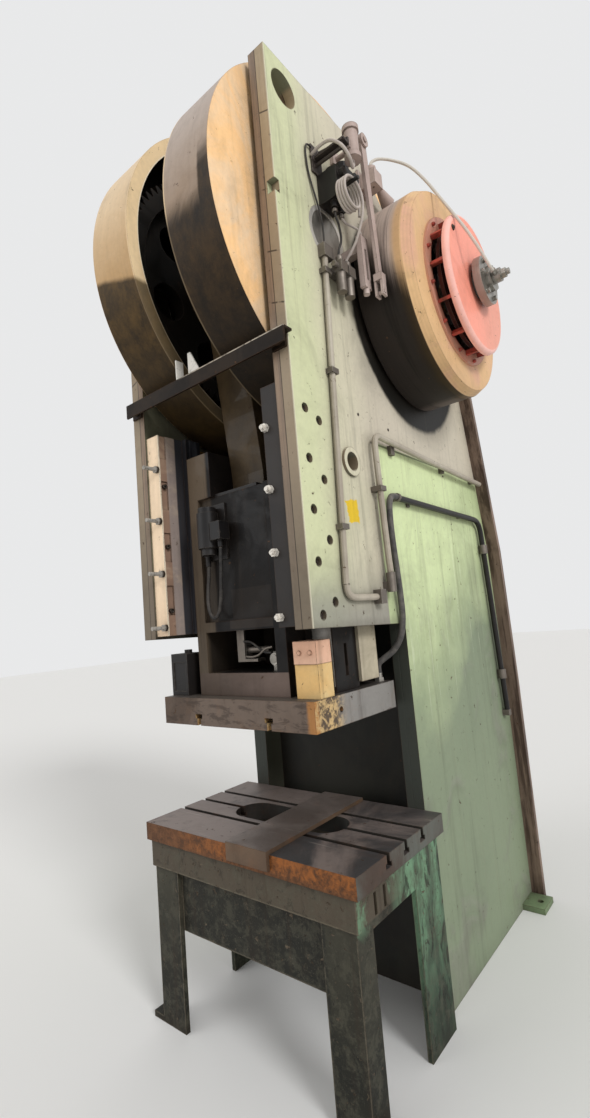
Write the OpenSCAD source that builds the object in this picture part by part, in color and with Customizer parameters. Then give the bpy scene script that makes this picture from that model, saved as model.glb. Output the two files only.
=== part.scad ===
/* [Frame] */
// Half the width across the outer faces of the side plates
frame_half_width = 497; // [470:1:520]
// Thickness of each side plate
plate_thickness = 83; // [70:1:90]
// Height of the frame above the floor
frame_height = 4037; // [4000:1:4100]
// Height of the head's lower edge above the floor
head_bottom = 1678; // [1650:1:1700]
// Length of the level top edge, front to back
top_length = 620; // [540:1:700]
// Distance from the frame's front face to the column
throat_depth = 680; // [640:1:720]
// Depth of the side plates at the floor
frame_depth = 1875; // [1840:1:1920]
// Thickness of the plate welded across the back
back_thickness = 35; // [20:1:50]
// How far the back plate stands out past each side plate
back_overhang = 68; // [40:1:90]
// Thickness of the inner cross plates
web_thickness = 30; // [20:1:40]
// Radius of the lifting holes near the top front corner
lift_hole_r = 75; // [50:1:90]

/* [Table] */
// Height of the table top above the floor
table_height = 850; // [820:1:870]
// Thickness of the table slab
slab_thickness = 76; // [60:1:90]
// Half the width of the slab
slab_half_width = 575; // [550:1:600]
// Distance between the T slots, front to back
slot_pitch = 134; // [125:1:145]
// Width of a T slot at the top
slot_width = 22; // [18:1:28]
// Length of the opening through the slab
die_hole_length = 600; // [500:1:680]
// Width of the opening through the slab
die_hole_width = 190; // [160:1:196]
// Width of each front leg
leg_width = 152; // [120:1:180]
// Thickness of the plates of the table base
base_plate = 22; // [16:1:28]
// Width of the loose bar on the table
bar_width = 220; // [180:1:250]
// Thickness of the loose bar
bar_thickness = 16; // [10:1:20]
// Radius of the foundation bolt holes
anchor_hole_r = 16; // [12:1:20]

/* [Crank and gears] */
// Height of the crank's axis above the floor
crank_height = 3370; // [3350:1:3390]
// Distance of the crank's axis behind the front face
crank_setback = 340; // [335:1:345]
// Throw of the eccentric, half the stroke
eccentric_throw = 60; // [50:1:64]
// Radius of the eccentric
eccentric_r = 172; // [170:1:180]
// Radius of the crank's main journals
journal_r = 105; // [95:1:108]
// Module of the gears
gear_module = 14; // [13.9:0.05:14.1]
// Teeth on each large gear
bull_teeth = 78; // [77:1:79]
// Teeth on each pinion
pinion_teeth = 20; // [19:1:21]
// Width of the gear teeth
gear_face = 180; // [150:1:200]
// Angle of the line from the crank to the drive shaft, below level
drive_drop = 10; // [8:1:12]
// Radius of the drive shaft
drive_shaft_r = 62; // [55:1:66]

/* [Gear guards] */
// Outer radius of the gear guards
guard_r = 821; // [815:1:825]
// Thickness of the guard sheet
guard_sheet = 4; // [3:0.5:6]
// Half the gap between the two guards
guard_gap = 125; // [118:1:128]
// Gap between the guards' outer discs and the side plates
guard_plate_gap = 26; // [22:1:32]
// Width of the turned in lip on the inner side
guard_lip = 58; // [40:1:65]

/* [Flywheel and clutch] */
// Outer radius of the flywheel
flywheel_r = 502; // [480:1:520]
// Inner radius of the flywheel rim
rim_inner_r = 358; // [350:1:380]
// Width of the flywheel along its shaft
flywheel_width = 281; // [260:1:300]
// Gap between the side plate and the flywheel
flywheel_gap = 15; // [14:1:25]
// Outer radius of the clutch cover
clutch_r = 333; // [320:1:340]
// Distance from the flywheel to the outside of the clutch cover
clutch_depth = 104; // [90:1:120]
// Radius of the plate on the shaft's end
hub_plate_r = 115; // [100:1:120]

/* [Slide] */
// Half the width of the slide's box
slide_half_width = 265; // [255:1:275]
// Distance of the slide's front behind the frame's front
slide_front = 120; // [110:1:130]
// Distance of the slide's back behind the frame's front
slide_back = 560; // [550:1:570]
// Height of the slide's top at the top of its stroke
slide_top = 2300; // [2280:1:2320]
// Height of the slide's lower face at the top of its stroke
slide_bottom = 1296; // [1280:1:1310]
// Thickness of the slide's flange
flange_thickness = 117; // [100:1:130]
// Half the width of the flange
flange_half_width = 435; // [420:1:450]
// Distance of the flange's front behind the frame's front
flange_front = 47; // [30:1:60]
// Distance of the flange's back behind the frame's front
flange_back = 633; // [620:1:650]
// Height of the ball's centre at the top of the stroke
ball_height = 1930; // [1920:1:1940]
// Radius of the ball at the foot of the connecting rod
ball_r = 75; // [70:1:80]
// Half the width of the connecting rod
conrod_half_width = 98; // [90:1:102]

/* [Guides] */
// Depth of the guide wings of the slide, front to back
wing_depth = 172; // [160:1:180]
// Distance of the guide wings behind the frame's front
wing_front = 240; // [235:1:245]
// Thickness of the bronze liners
liner_thickness = 6; // [4:1:8]
// Height of the guides' upper ends
gib_top = 2630; // [2600:1:2660]
// Number of screws in the front column on each side plate
front_screws = 5; // [3:1:6]
// Distance between the front column's screws
front_screw_pitch = 198; // [190:1:205]
// Distance between the rear column's screws
rear_screw_pitch = 238; // [230:1:245]
// Distance between the gib studs
stud_pitch = 245; // [235:1:250]

/* [Pipes] */
// Radius of the painted pipes on the right side plate
pipe_r = 14; // [10:1:16]
// Radius of the black air pipe
air_pipe_r = 15; // [12:1:18]
// Radius of the slide's air hose
hose_r = 14; // [12:1:14]

/* [Hidden] */
$fn = 64;

// Named clearances between pieces
running_gap = 0.05;
slide_gap = 0.3;
seat_gap = 0.3;
hole_gap = 0.5;

// The origin lies midway between the four foundation bolts
anchor_x = frame_half_width + 75;
anchor_front_y = 80;
anchor_rear_y = frame_depth - 95;
front_y = -(anchor_front_y + anchor_rear_y) / 2;

// Frame
plate_in = frame_half_width - plate_thickness;
waist_height = 2030;
shoulder_height = 2670;
crown_rear_height = 3170;
knee_height = 1230;

// Gears
pressure_angle = 25;
backlash = 0.8;
bull_pitch_r = gear_module * bull_teeth / 2;
pinion_pitch_r = gear_module * pinion_teeth / 2;
centre_distance = bull_pitch_r + pinion_pitch_r;
drive_y = crank_setback + centre_distance * cos(drive_drop);
drive_z = crank_height - centre_distance * sin(drive_drop);
bull_tip_r = bull_pitch_r + gear_module;
guard_outer_x = plate_in - guard_plate_gap;
gear_centre_x = (guard_gap + guard_outer_x) / 2;
guard_tip_gap = 16;
guard_tilt = 15.65;
guard_offset = guard_r - guard_sheet - bull_tip_r - guard_tip_gap;
guard_y = crank_setback + guard_offset * cos(guard_tilt);
guard_z = crank_height + guard_offset * sin(guard_tilt);
bush_wall = 20;
drive_bush_wall = 16;

// Flywheel and clutch
flywheel_x = frame_half_width + flywheel_gap;
flywheel_end = flywheel_x + flywheel_width;
clutch_end = flywheel_end + clutch_depth;
hub_plate_thickness = 60;
hub_gap = 20;
hub_x = clutch_end + hub_gap;
shaft_end = hub_x + hub_plate_thickness;

// Slide
flange_top = slide_bottom + flange_thickness;
cavity_front = slide_front + 55;
cavity_back = slide_back - 55;
cavity_half = slide_half_width - 60;
shelf_height = ball_height - ball_r - 90;
window_floor = flange_top + 98;
window_roof = shelf_height - 75;
wing_x = plate_in - 14;
rod_half_depth = 90;

// Guides
nose_x = slide_half_width + 35;
gib_bottom = head_bottom + 12;
rear_guide_top = guard_z - guard_r - 24;
gib_body_x = nose_x + 30;

// Table
slab_front = 10;
slab_back = throat_depth;
slab_bottom = table_height - slab_thickness;
base_half_width = slab_half_width - 30;
slot_front = 224;
die_hole_y = slot_front + slot_pitch;
rail_height = 114;
apron_height = 250;

// Helpers
module in_frame() {
    translate([0, front_y, 0]) children();
}

// A block between two x, two y and two z values
module block(x, y, z) {
    translate([x[0], y[0], z[0]]) cube([x[1] - x[0], y[1] - y[0], z[1] - z[0]]);
}

// A round bar along x
module bar_x(x, y, z, r) {
    translate([x[0], y, z]) rotate([0, 90, 0]) cylinder(h = x[1] - x[0], r = r);
}

// A round bar along y
module bar_y(x, y, z, r) {
    translate([x, y[0], z]) rotate([-90, 0, 0]) cylinder(h = y[1] - y[0], r = r);
}

// A round bar along z
module bar_z(x, y, z, r) {
    translate([x, y, z[0]]) cylinder(h = z[1] - z[0], r = r);
}

// A y and z outline extruded along x
module slab_x(x) {
    translate([x[0], 0, 0]) rotate([90, 0, 90]) linear_extrude(x[1] - x[0]) children();
}

// A turned shape about an axis along x, drawn as radius and x
module turned_x(y, z) {
    translate([0, y, z]) rotate([0, 90, 0]) rotate_extrude() children();
}

// A hexagonal nut or head along y
module hex_y(x, y, z, r) {
    translate([x, y[0], z]) rotate([-90, 0, 0]) cylinder(h = y[1] - y[0], r = r, $fn = 6);
}

// A hexagonal nut or head along x
module hex_x(x, y, z, r) {
    translate([x[0], y, z]) rotate([0, 90, 0]) cylinder(h = x[1] - x[0], r = r, $fn = 6);
}

// Shows its children on both sides of the centre plane
module both_sides() {
    children();
    mirror([1, 0, 0]) children();
}

// Points of a smooth curve through a few chosen points
function spline_point(a, b, c, d, t) =
    0.5 * (2 * b + (c - a) * t + (2 * a - 5 * b + 4 * c - d) * t * t
    + (3 * b - a - 3 * c + d) * t * t * t);
function at(p, i) = p[max(0, min(len(p) - 1, i))];
function smooth(p, steps) = concat(
    [for (i = [0:len(p) - 2]) for (k = [0:steps - 1])
        spline_point(at(p, i - 1), at(p, i), at(p, i + 1), at(p, i + 2), k / steps)],
    [p[len(p) - 1]]);
function unit(v) = v / norm(v);
function heading(p, i) = unit(at(p, i + 1) - at(p, i - 1));
function ring(c, t, up, r, sides) =
    let (s = unit(cross(t, up)), u = cross(s, t))
    [for (k = [0:sides - 1]) c + r * (cos(360 * k / sides) * s + sin(360 * k / sides) * u)];

// A tube swept along points, with its section turned by the up direction
module tube(p, r, up = [1, 0, 0], sides = 10) {
    last = len(p) - 1;
    polyhedron(
        points = [for (i = [0:last]) each ring(p[i], heading(p, i), up, r, sides)],
        faces = concat(
            [[for (k = [0:sides - 1]) k]],
            [for (i = [0:last - 1]) for (k = [0:sides - 1])
                [i * sides + k, (i + 1) * sides + k,
                 (i + 1) * sides + (k + 1) % sides, i * sides + (k + 1) % sides]],
            [[for (k = [sides - 1:-1:0]) last * sides + k]]));
}

// Gear outline
function involute(a) = tan(a) * 180 / PI - a;
function flank_angle(r, rb, rp, teeth) =
    90 / teeth - backlash / 4 / rp * 180 / PI + involute(pressure_angle)
    - involute(acos(min(1, rb / r)));
function gear_outline(teeth, phase) =
    let (rp = gear_module * teeth / 2, rb = rp * cos(pressure_angle),
         ra = rp + gear_module, rf = rp - 1.25 * gear_module,
         low = max(rb, rf), radii = [low, (2 * low + ra) / 3, (low + 2 * ra) / 3, ra])
    [for (i = [0:teeth - 1]) let (a = phase + 360 * i / teeth) each concat(
        [rf * [cos(a - 180 / teeth), sin(a - 180 / teeth)]],
        [for (r = radii) let (h = flank_angle(r, rb, rp, teeth))
            r * [cos(a - h), sin(a - h)]],
        [for (k = [3:-1:0]) let (r = radii[k], h = flank_angle(r, rb, rp, teeth))
            r * [cos(a + h), sin(a + h)]])];

// Places that several pieces share
front_screw_y = 68;
rear_screw_y = 153;
front_screw_z = 1723;
rear_screw_z = 1769;
screw_head_r = 17;
screw_shank_r = 10;
screw_head_h = 18;
screw_recess = 32;
stud_z = 1728;
stud_r = 9;
stud_x = gib_body_x + 14;
function screw_places() = concat(
    [for (i = [0:front_screws - 1]) [front_screw_y, front_screw_z + i * front_screw_pitch]],
    [for (i = [0:front_screws - 2]) [rear_screw_y, rear_screw_z + i * rear_screw_pitch]]);

// Side plates
function side_outline() = [
    [0, head_bottom], [0, frame_height], [top_length, frame_height],
    [top_length + 630, frame_height - 480], [frame_depth - 255, crown_rear_height],
    [frame_depth - 155, shoulder_height], [frame_depth - 35, waist_height],
    [frame_depth, knee_height], [frame_depth, 0], [throat_depth, 0],
    [throat_depth, head_bottom - 18]];

port_y = 353;
port_z = 2350;
port_r = 40;
lift_y = 113;
lift_z = frame_height - 127;

module side_plate() {
    difference() {
        slab_x([plate_in, frame_half_width]) polygon(side_outline());
        bar_x([plate_in - 1, frame_half_width + 1], lift_y, lift_z, lift_hole_r);
        bar_x([plate_in - 1, frame_half_width + 1], crank_setback, crank_height,
              journal_r + bush_wall);
        bar_x([plate_in - 1, frame_half_width + 1], drive_y, drive_z,
              drive_shaft_r + drive_bush_wall);
        for (p = screw_places()) {
            bar_x([plate_in - 1, frame_half_width + 1], p[0], p[1], screw_shank_r + hole_gap);
            bar_x([frame_half_width - screw_recess, frame_half_width + 1], p[0], p[1],
                  screw_head_r + 2);
        }
        bar_x([plate_in - 1, frame_half_width + 1], port_y, port_z, port_r);
    }
}

// Right side plate, with a notch cut out of its front corner
notch_width = 38;
notch_depth = 28;
notch_z = [3385, 3440];
module side_plate_right() {
    color("#b9bfa2") in_frame() {
        difference() {
            side_plate();
            block([frame_half_width - notch_width, frame_half_width + 1], [-1, notch_depth],
                  notch_z);
        }
        difference() {
            bar_x([frame_half_width - 1, frame_half_width + 12], port_y, port_z, port_r + 22);
            bar_x([frame_half_width - 2, frame_half_width + 13], port_y, port_z, port_r);
        }
    }
}

module side_plate_left() {
    color("#b9bfa2") in_frame() mirror([1, 0, 0]) side_plate();
}

// Back plate, bent along the rear edge of the side plates
function back_outline() = [
    [frame_depth, 0], [frame_depth, knee_height], [frame_depth - 35, waist_height],
    [frame_depth - 155, shoulder_height], [frame_depth - 255, crown_rear_height],
    [frame_depth - 255 + back_thickness, crown_rear_height],
    [frame_depth - 155 + back_thickness, shoulder_height],
    [frame_depth - 35 + back_thickness, waist_height],
    [frame_depth + back_thickness, knee_height], [frame_depth + back_thickness, 0]];

module back_plate() {
    back_half = frame_half_width + back_overhang;
    color("#8f7f6c") in_frame() slab_x([-back_half, back_half]) polygon(back_outline());
}

// Cross plates between the side plates, one behind the table and one behind the slide
module cross_plates() {
    hand_hole_r = 110;
    throat_y = throat_depth + 120;
    head_y = throat_depth - 30;
    head_z = head_bottom + 10;
    color("#4d5146") in_frame() difference() {
        union() {
            block([-plate_in, plate_in], [throat_y, throat_y + web_thickness],
                  [0, head_bottom + 500]);
            block([-plate_in, plate_in], [head_y, head_y + web_thickness],
                  [head_z, rear_guide_top]);
        }
        bar_y(0, [head_y - 1, throat_y + web_thickness + 1], 420, hand_hole_r);
        bar_y(0, [head_y - 1, head_y + web_thickness + 1], (head_z + gib_top) / 2, 160);
    }
}

// Feet of the column with the rear foundation bolt holes
module column_feet() {
    color("#4f6144") in_frame() both_sides() difference() {
        block([frame_half_width, anchor_x + 45], [anchor_rear_y - 80, anchor_rear_y + 80],
              [0, 30]);
        bar_z(anchor_x, anchor_rear_y, [-1, 31], anchor_hole_r);
    }
}

// Table base, one welding of plates
module table_base() {
    leg_in = base_half_width - leg_width;
    rail_bottom = slab_bottom - rail_height;
    color("#4c5443") in_frame() {
        both_sides() difference() {
            union() {
                block([leg_in, base_half_width], [30, 30 + base_plate], [0, rail_bottom]);
                block([base_half_width - base_plate, base_half_width], [30, 130],
                      [0, rail_bottom]);
                block([base_half_width - base_plate, base_half_width],
                      [slab_back - 230, slab_back - 14], [0, rail_bottom]);
                block([base_half_width - base_plate, base_half_width],
                      [22 + base_plate, slab_back - 14], [rail_bottom - 30, slab_bottom]);
                block([base_half_width, anchor_x + 40], [30, 130], [0, 25]);
            }
            bar_z(anchor_x, anchor_front_y, [-1, 26], anchor_hole_r);
            for (y = [150, 215])
                block([base_half_width - 60, base_half_width + 1], [y, y + 18],
                      [rail_bottom + 5, rail_bottom + 80]);
        }
        block([-base_half_width - 12, base_half_width + 12], [22, 22 + base_plate],
              [rail_bottom, slab_bottom]);
        block([-leg_in - 1, leg_in + 1], [22 + base_plate + 8, 22 + 2 * base_plate + 8],
              [rail_bottom - apron_height, rail_bottom + 20]);
        block([-base_half_width + 1, base_half_width - 1],
              [slab_back - 14 - base_plate, slab_back - 14],
              [rail_bottom - 60, slab_bottom]);
        for (y = [22 + base_plate, die_hole_y + die_hole_width / 2 + 20])
            block([-base_half_width + 1, base_half_width - 1], [y - 1, y + base_plate],
                  [slab_bottom - 60, slab_bottom]);
    }
}

// Table slab with three T slots and the opening for scrap
module t_slot(y) {
    neck = 30;
    head = slot_width + 20;
    block([-slab_half_width - 1, slab_half_width + 1],
          [y - slot_width / 2, y + slot_width / 2], [table_height - neck - 1, table_height + 1]);
    block([-slab_half_width - 1, slab_half_width + 1],
          [y - head / 2, y + head / 2], [table_height - neck - 18, table_height - neck]);
}

module table_slab() {
    end_x = (die_hole_length - die_hole_width) / 2;
    color("#6d6459") in_frame() difference() {
        block([-slab_half_width, slab_half_width], [slab_front, slab_back],
              [slab_bottom, table_height]);
        for (i = [0:2]) t_slot(slot_front + i * slot_pitch);
        block([-end_x, end_x],
              [die_hole_y - die_hole_width / 2, die_hole_y + die_hole_width / 2],
              [slab_bottom - 1, table_height + 1]);
        both_sides() bar_z(end_x, die_hole_y, [slab_bottom - 1, table_height + 1],
                           die_hole_width / 2);
    }
}

// Bar lying on the table, with its front end turned down
module loose_bar() {
    bar_x0 = 78 - bar_width / 2;
    lip = 72;
    color("#6b5a48") in_frame() {
        block([bar_x0, bar_x0 + bar_width], [slab_front - bar_thickness - seat_gap, slab_back - 12],
              [table_height, table_height + bar_thickness]);
        block([bar_x0, bar_x0 + bar_width],
              [slab_front - bar_thickness - seat_gap, slab_front - seat_gap],
              [table_height + bar_thickness - lip, table_height + bar_thickness / 2]);
    }
}

// Angle bar across the front, below the gear guards
crossbar_top = 2800;
crossbar_depth = 52;
module front_crossbar() {
    leg = 9;
    drop = 64;
    half = frame_half_width + 21;
    color("#3d3833") in_frame() {
        block([-frame_half_width + 20, half], [-crossbar_depth, 0],
              [crossbar_top - leg, crossbar_top]);
        block([-frame_half_width + 20, half], [-crossbar_depth, leg - crossbar_depth],
              [crossbar_top - drop, crossbar_top - leg + 1]);
        both_sides() block([plate_in + 8, frame_half_width - 8], [-leg, 0],
                           [crossbar_top - drop + 4, crossbar_top - leg + 1]);
        both_sides() hex_y(plate_in + 40, [-leg - 9, 1 - leg], crossbar_top - drop / 2, 14);
        block([-104, -98], [-crossbar_depth + 4, -8], [crossbar_top - 1, crossbar_top + 92]);
        translate([-46, -20, crossbar_top - 1]) rotate([90, 0, 0]) linear_extrude(6)
            polygon([[0, 0], [78, 0], [18, 112], [0, 112]]);
    }
}

// Gear guards, a drum of sheet with a lip round the open inner side
// Angle and share of the guard's radius at each spacer
guard_spacer_places = [[120.3, 0.656], [29.6, 0.53], [223.9, 0.764], [-53.8, 0.883]];
function guard_spacers() =
    [for (p = guard_spacer_places)
        [guard_y + guard_r * p[1] * cos(p[0]), guard_z + guard_r * p[1] * sin(p[0])]];
module gear_guard() {
    shaft_hole = journal_r + bush_wall + 45;
    inside_x = guard_outer_x - guard_sheet;
    spacer_r = 22;
    color("#b08a52") in_frame() difference() {
        union() {
            turned_x(guard_y, guard_z) polygon([
                [0, guard_outer_x], [guard_r, guard_outer_x], [guard_r, guard_gap],
                [guard_r - guard_lip, guard_gap],
                [guard_r - guard_lip, guard_gap + guard_sheet],
                [guard_r - guard_sheet, guard_gap + guard_sheet],
                [guard_r - guard_sheet, inside_x], [0, inside_x]]);
            for (p = guard_spacers())
                bar_x([guard_outer_x - 1, plate_in], p[0], p[1], spacer_r);
        }
        bar_x([0, plate_in + 1], crank_setback, crank_height, shaft_hole);
        bar_x([0, plate_in + 1], drive_y, drive_z, drive_shaft_r + drive_bush_wall + 24);
    }
}

module gear_guard_right() {
    gear_guard();
}

module gear_guard_left() {
    mirror([1, 0, 0]) gear_guard();
}

// Bearing bushes with an inner flange, one in each side plate
module flanged_bush(y, z, bore, wall, flange) {
    difference() {
        union() {
            bar_x([plate_in, frame_half_width], y, z, bore + wall);
            bar_x([plate_in - 8, plate_in], y, z, bore + wall + flange);
        }
        bar_x([plate_in - 9, frame_half_width + 1], y, z, bore + running_gap);
    }
}

module bearing_bushes() {
    color("#a5793e") in_frame() both_sides() {
        flanged_bush(crank_setback, crank_height, journal_r, bush_wall, 22);
        flanged_bush(drive_y, drive_z, drive_shaft_r, drive_bush_wall, 14);
    }
}

// Front gibs: the body is screwed to the side plate, the nose guides the wing
pocket_depth = 7;
module front_gib() {
    difference() {
        union() {
            block([gib_body_x, plate_in], [8, 152], [gib_bottom, gib_top]);
            block([nose_x, plate_in], [150, wing_front - slide_gap], [gib_bottom, gib_top]);
        }
        for (p = screw_places())
            bar_x([plate_in - 34, plate_in + 1], p[0], p[1], screw_shank_r);
        for (i = [0:3]) {
            bar_y(stud_x, [7, 70], stud_z + i * stud_pitch, stud_r);
            block([gib_body_x - 1, gib_body_x + pocket_depth], [14, 50],
                  [stud_z + 56 + i * stud_pitch, stud_z + 190 + i * stud_pitch]);
        }
    }
}

module front_gib_right() {
    color("#55504a") in_frame() front_gib();
}

module front_gib_left() {
    color("#cbb795") in_frame() mirror([1, 0, 0]) front_gib();
}

// Rear gibs, which reach below the head
module rear_gibs() {
    nose_end = wing_front + wing_depth + 58;
    color("#c9bfa4") in_frame() both_sides() {
        block([nose_x, plate_in], [wing_front + wing_depth + slide_gap, nose_end],
              [flange_top + 24, rear_guide_top]);
        block([gib_body_x, plate_in], [nose_end - 1, nose_end + 80],
              [flange_top + 24, rear_guide_top]);
    }
}

module side_liners() {
    color("#a08654") in_frame() both_sides()
        block([wing_x + slide_gap, plate_in],
              [wing_front - slide_gap, wing_front + wing_depth + slide_gap],
              [gib_bottom, gib_top]);
}

// Socket screws that hold the front gibs
module gib_screw_set() {
    for (p = screw_places()) difference() {
        union() {
            bar_x([plate_in - 30, frame_half_width - screw_recess], p[0], p[1], screw_shank_r);
            bar_x([frame_half_width - screw_recess, frame_half_width - screw_recess + screw_head_h],
                  p[0], p[1], screw_head_r);
        }
        hex_x([frame_half_width - screw_recess + 8, frame_half_width], p[0], p[1], 9);
    }
}

module gib_screws() {
    color("#3a2f28") in_frame() both_sides() gib_screw_set();
}

// Studs and nuts on the front of the gibs
module gib_stud_set(reach) {
    nut_r = 17;
    for (i = [0:3]) {
        bar_y(stud_x, [8 - reach, 66], stud_z + i * stud_pitch, stud_r);
        difference() {
            hex_y(stud_x, [-10, 8], stud_z + i * stud_pitch, nut_r);
            bar_y(stud_x, [-11, 9], stud_z + i * stud_pitch, stud_r);
        }
    }
}

module gib_studs() {
    color("#8a867f") in_frame() {
        gib_stud_set(30);
        mirror([1, 0, 0]) gib_stud_set(78);
    }
}

// Painted pipe down the right side plate, turned to the back at its foot
function front_conduit_route() = [
    [0, 280, 3225], [0, 280, 3213], [0, 280, 3200], [0, 274, 3110], [0, 246, 2540],
    [0, 214, 1900], [0, 212, 1835],
    [0, 222, 1800], [0, 256, 1784], [0, 330, 1782], [0, 432, 1782]];

function front_conduit_y(z) = 274 - (3110 - z) * 0.0495;

module front_conduit() {
    color("#b9b5a4") in_frame() translate([frame_half_width + pipe_r + 2, 0, 0])
        tube(smooth(front_conduit_route(), 3), pipe_r);
}

// A place on the side plates, measured forward from their rear edge
function rear(distance) = frame_depth - distance;

// Painted pipe along the top of the green panel and down to its fitting
function side_pipe_route() = [
    [0, rear(135), 2444], [0, rear(475), 2456], [0, rear(875), 2472], [0, 600, 2492],
    [0, 548, 2494], [0, 520, 2478], [0, 512, 2440], [0, 516, 2300], [0, 530, 1960],
    [0, 534, 1912], [0, 534, 1898], [0, 534, 1884]];

module side_pipe() {
    color("#bdb7a2") in_frame() translate([frame_half_width + 2 * pipe_r + 6, 0, 0])
        tube(smooth(side_pipe_route(), 3), pipe_r);
}

air_pipe_x = frame_half_width + air_pipe_r + 10;
// Black air pipe along the panel and down the rear edge
function air_pipe_route() = [
    [0, 690, 2232], [0, rear(875), 2226], [0, rear(475), 2218], [0, rear(285), 2214],
    [0, rear(227), 2202], [0, rear(197), 2170], [0, rear(185), 2110], [0, rear(167), 1900],
    [0, rear(135), 1500], [0, rear(107), 1150], [0, rear(103), 1090]];

module air_pipe() {
    color("#2b2b2c") in_frame() translate([air_pipe_x, 0, 0])
        tube(smooth(air_pipe_route(), 3), air_pipe_r);
}

// Clips, couplings and end fittings of the pipes on the right side plate
module pipe_clip(x_end, y, z) {
    block([frame_half_width, x_end], y, z);
}

// A clip that holds an upright pipe against the plate
module saddle(x, y, z, r) {
    difference() {
        block([frame_half_width, x + r + 5], [y - r - 9, y + r + 9], z);
        bar_z(x, y, [z[0] - 1, z[1] + 1], r + 2.5);
    }
}

module pipe_sleeve(x, y, z, r) {
    difference() {
        bar_z(x, y, z, r + 6);
        bar_z(x, y, [z[0] - 1, z[1] + 1], r + 0.5);
    }
}

module pipe_fittings() {
    side_x = frame_half_width + 2 * pipe_r + 6;
    front_x = frame_half_width + pipe_r + 2;
    air_x = air_pipe_x;
    color("#57534c") in_frame() {
        for (y = [700, rear(625), rear(215)])
            pipe_clip(side_x - pipe_r, [y - 16, y + 16], [2440, 2484 - (y - 700) / 34]);
        saddle(side_x, 518, [2240, 2262], pipe_r);
        bar_z(side_x, 534, [1800, 1883.7], pipe_r + 6);
        pipe_clip(side_x - pipe_r + 2, [518, 550], [1806, 1846]);
        for (z = [3150, 2700, 2050])
            saddle(front_x, front_conduit_y(z + 11), [z, z + 22], pipe_r);
        pipe_clip(front_x + pipe_r + 6, [258, 322], [3225.3, 3282]);
        pipe_clip(front_x + pipe_r + 8, [432.3, 474], [1752, 1812]);
        for (c = [[rear(178), 2040], [rear(120), 1300]]) {
            pipe_sleeve(air_x, c[0], [c[1] - 26, c[1] + 26], air_pipe_r + 3);
            pipe_clip(air_x - air_pipe_r - 4, [c[0] - 12, c[0] + 12], [c[1] - 14, c[1] + 14]);
        }
        for (y = [820, rear(455)])
            pipe_clip(air_x - air_pipe_r, [y - 12, y + 12], [2206, 2240]);
        pipe_clip(air_x + air_pipe_r, [rear(121), rear(85)], [1058, 1089.7]);
        bar_y(hose_top[0], [hose_top[1] - 12, hose_top[1] + 4], hose_top[2], 18);
        bar_y(air_x, [hose_top[1] + 2, 689.7], hose_top[2], 17);
        pipe_clip(hose_top[0] - 8, [hose_top[1] - 10, hose_top[1] + 16],
                  [hose_top[2] - 14, hose_top[2] + 14]);
    }
}

// Valve gear on the right side plate, beside the flywheel
bracket_y = 278;
bracket_z = 3700;
bracket_end = frame_half_width + 165;
module valve_bracket() {
    plate = 9;
    color("#50463f") in_frame() {
        block([frame_half_width, frame_half_width + plate], [bracket_y - 12, bracket_y + 62],
              [bracket_z - 70, bracket_z + 60]);
        block([frame_half_width + plate - 1, bracket_end], [bracket_y, bracket_y + 47],
              [bracket_z - plate, bracket_z]);
        translate([0, bracket_y + 47, 0]) rotate([90, 0, 0]) linear_extrude(plate) polygon([
            [frame_half_width + plate - 1, bracket_z - 1],
            [frame_half_width + plate - 1, bracket_z + 50], [bracket_end, bracket_z + 22],
            [bracket_end, bracket_z - 1]]);
        bar_x([frame_half_width + plate - 1, bracket_end - 20], bracket_y + 14,
              bracket_z - 34, 8);
        bar_z(bracket_end - 22, bracket_y + 14, [bracket_z - 40, bracket_z - plate + 1], 8);
    }
}

valve_x = frame_half_width + 100;
coil_centre = [valve_x + 43, 318, 3468];
coil_r = 62;
coil_hose_r = 6;
coil_pitch = 13;
coil_port = [frame_half_width + 117, 380, 3574.7];
module valve_block() {
    color("#2a2826") in_frame() {
        block([frame_half_width, valve_x], [bracket_y + 24, bracket_y + 128],
              [bracket_z - 212, bracket_z - 72]);
        block([frame_half_width, valve_x - 12], [bracket_y + 127, bracket_y + 212],
              [bracket_z - 150, bracket_z - 4]);
        bar_z(frame_half_width + 50, bracket_y + 76, [bracket_z - 73, bracket_z - 44], 30);
        bar_z(frame_half_width + 46, bracket_y + 170, [bracket_z - 5, bracket_z + 42], 32);
        for (y = [50, 102])
            bar_z(frame_half_width + 60, bracket_y + y, [bracket_z - 240, bracket_z - 211], 14);
        bar_x([valve_x - 1, valve_x + 96], coil_centre[1],
              coil_centre[2] + coil_r - coil_hose_r - 8.3, 8);
        bar_x([valve_x - 1, valve_x + 22], bracket_y + 60, bracket_z - 100, 20);
        bar_x([valve_x - 13, valve_x + 14], bracket_y + 170, bracket_z - 60, 24);
        bar_x([valve_x, coil_port[0] + 8], coil_port[1], coil_port[2] + 25, 10);
        bar_z(coil_port[0], coil_port[1], [coil_port[2] + 0.3, coil_port[2] + 25], 9);
    }
}

module air_cylinder() {
    x = bracket_end - 10;
    y = bracket_y + 84;
    r = 36;
    color("#c0a9a2") in_frame() {
        bar_z(x, y, [bracket_z - 54, bracket_z + 84], r - 6);
        for (z = [bracket_z - 56, bracket_z + 74])
            bar_z(x, y, [z, z + 22], r);
        bar_z(x, y, [bracket_z + 94, bracket_z + 112], 18);
        block([x - 26, x + 10], [bracket_y + 48, y - 20], [bracket_z - 20, bracket_z + 16]);
        block([x - 26, x + 10], [bracket_y + 47, bracket_y + 49], [bracket_z - 9, bracket_z]);
    }
}

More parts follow.
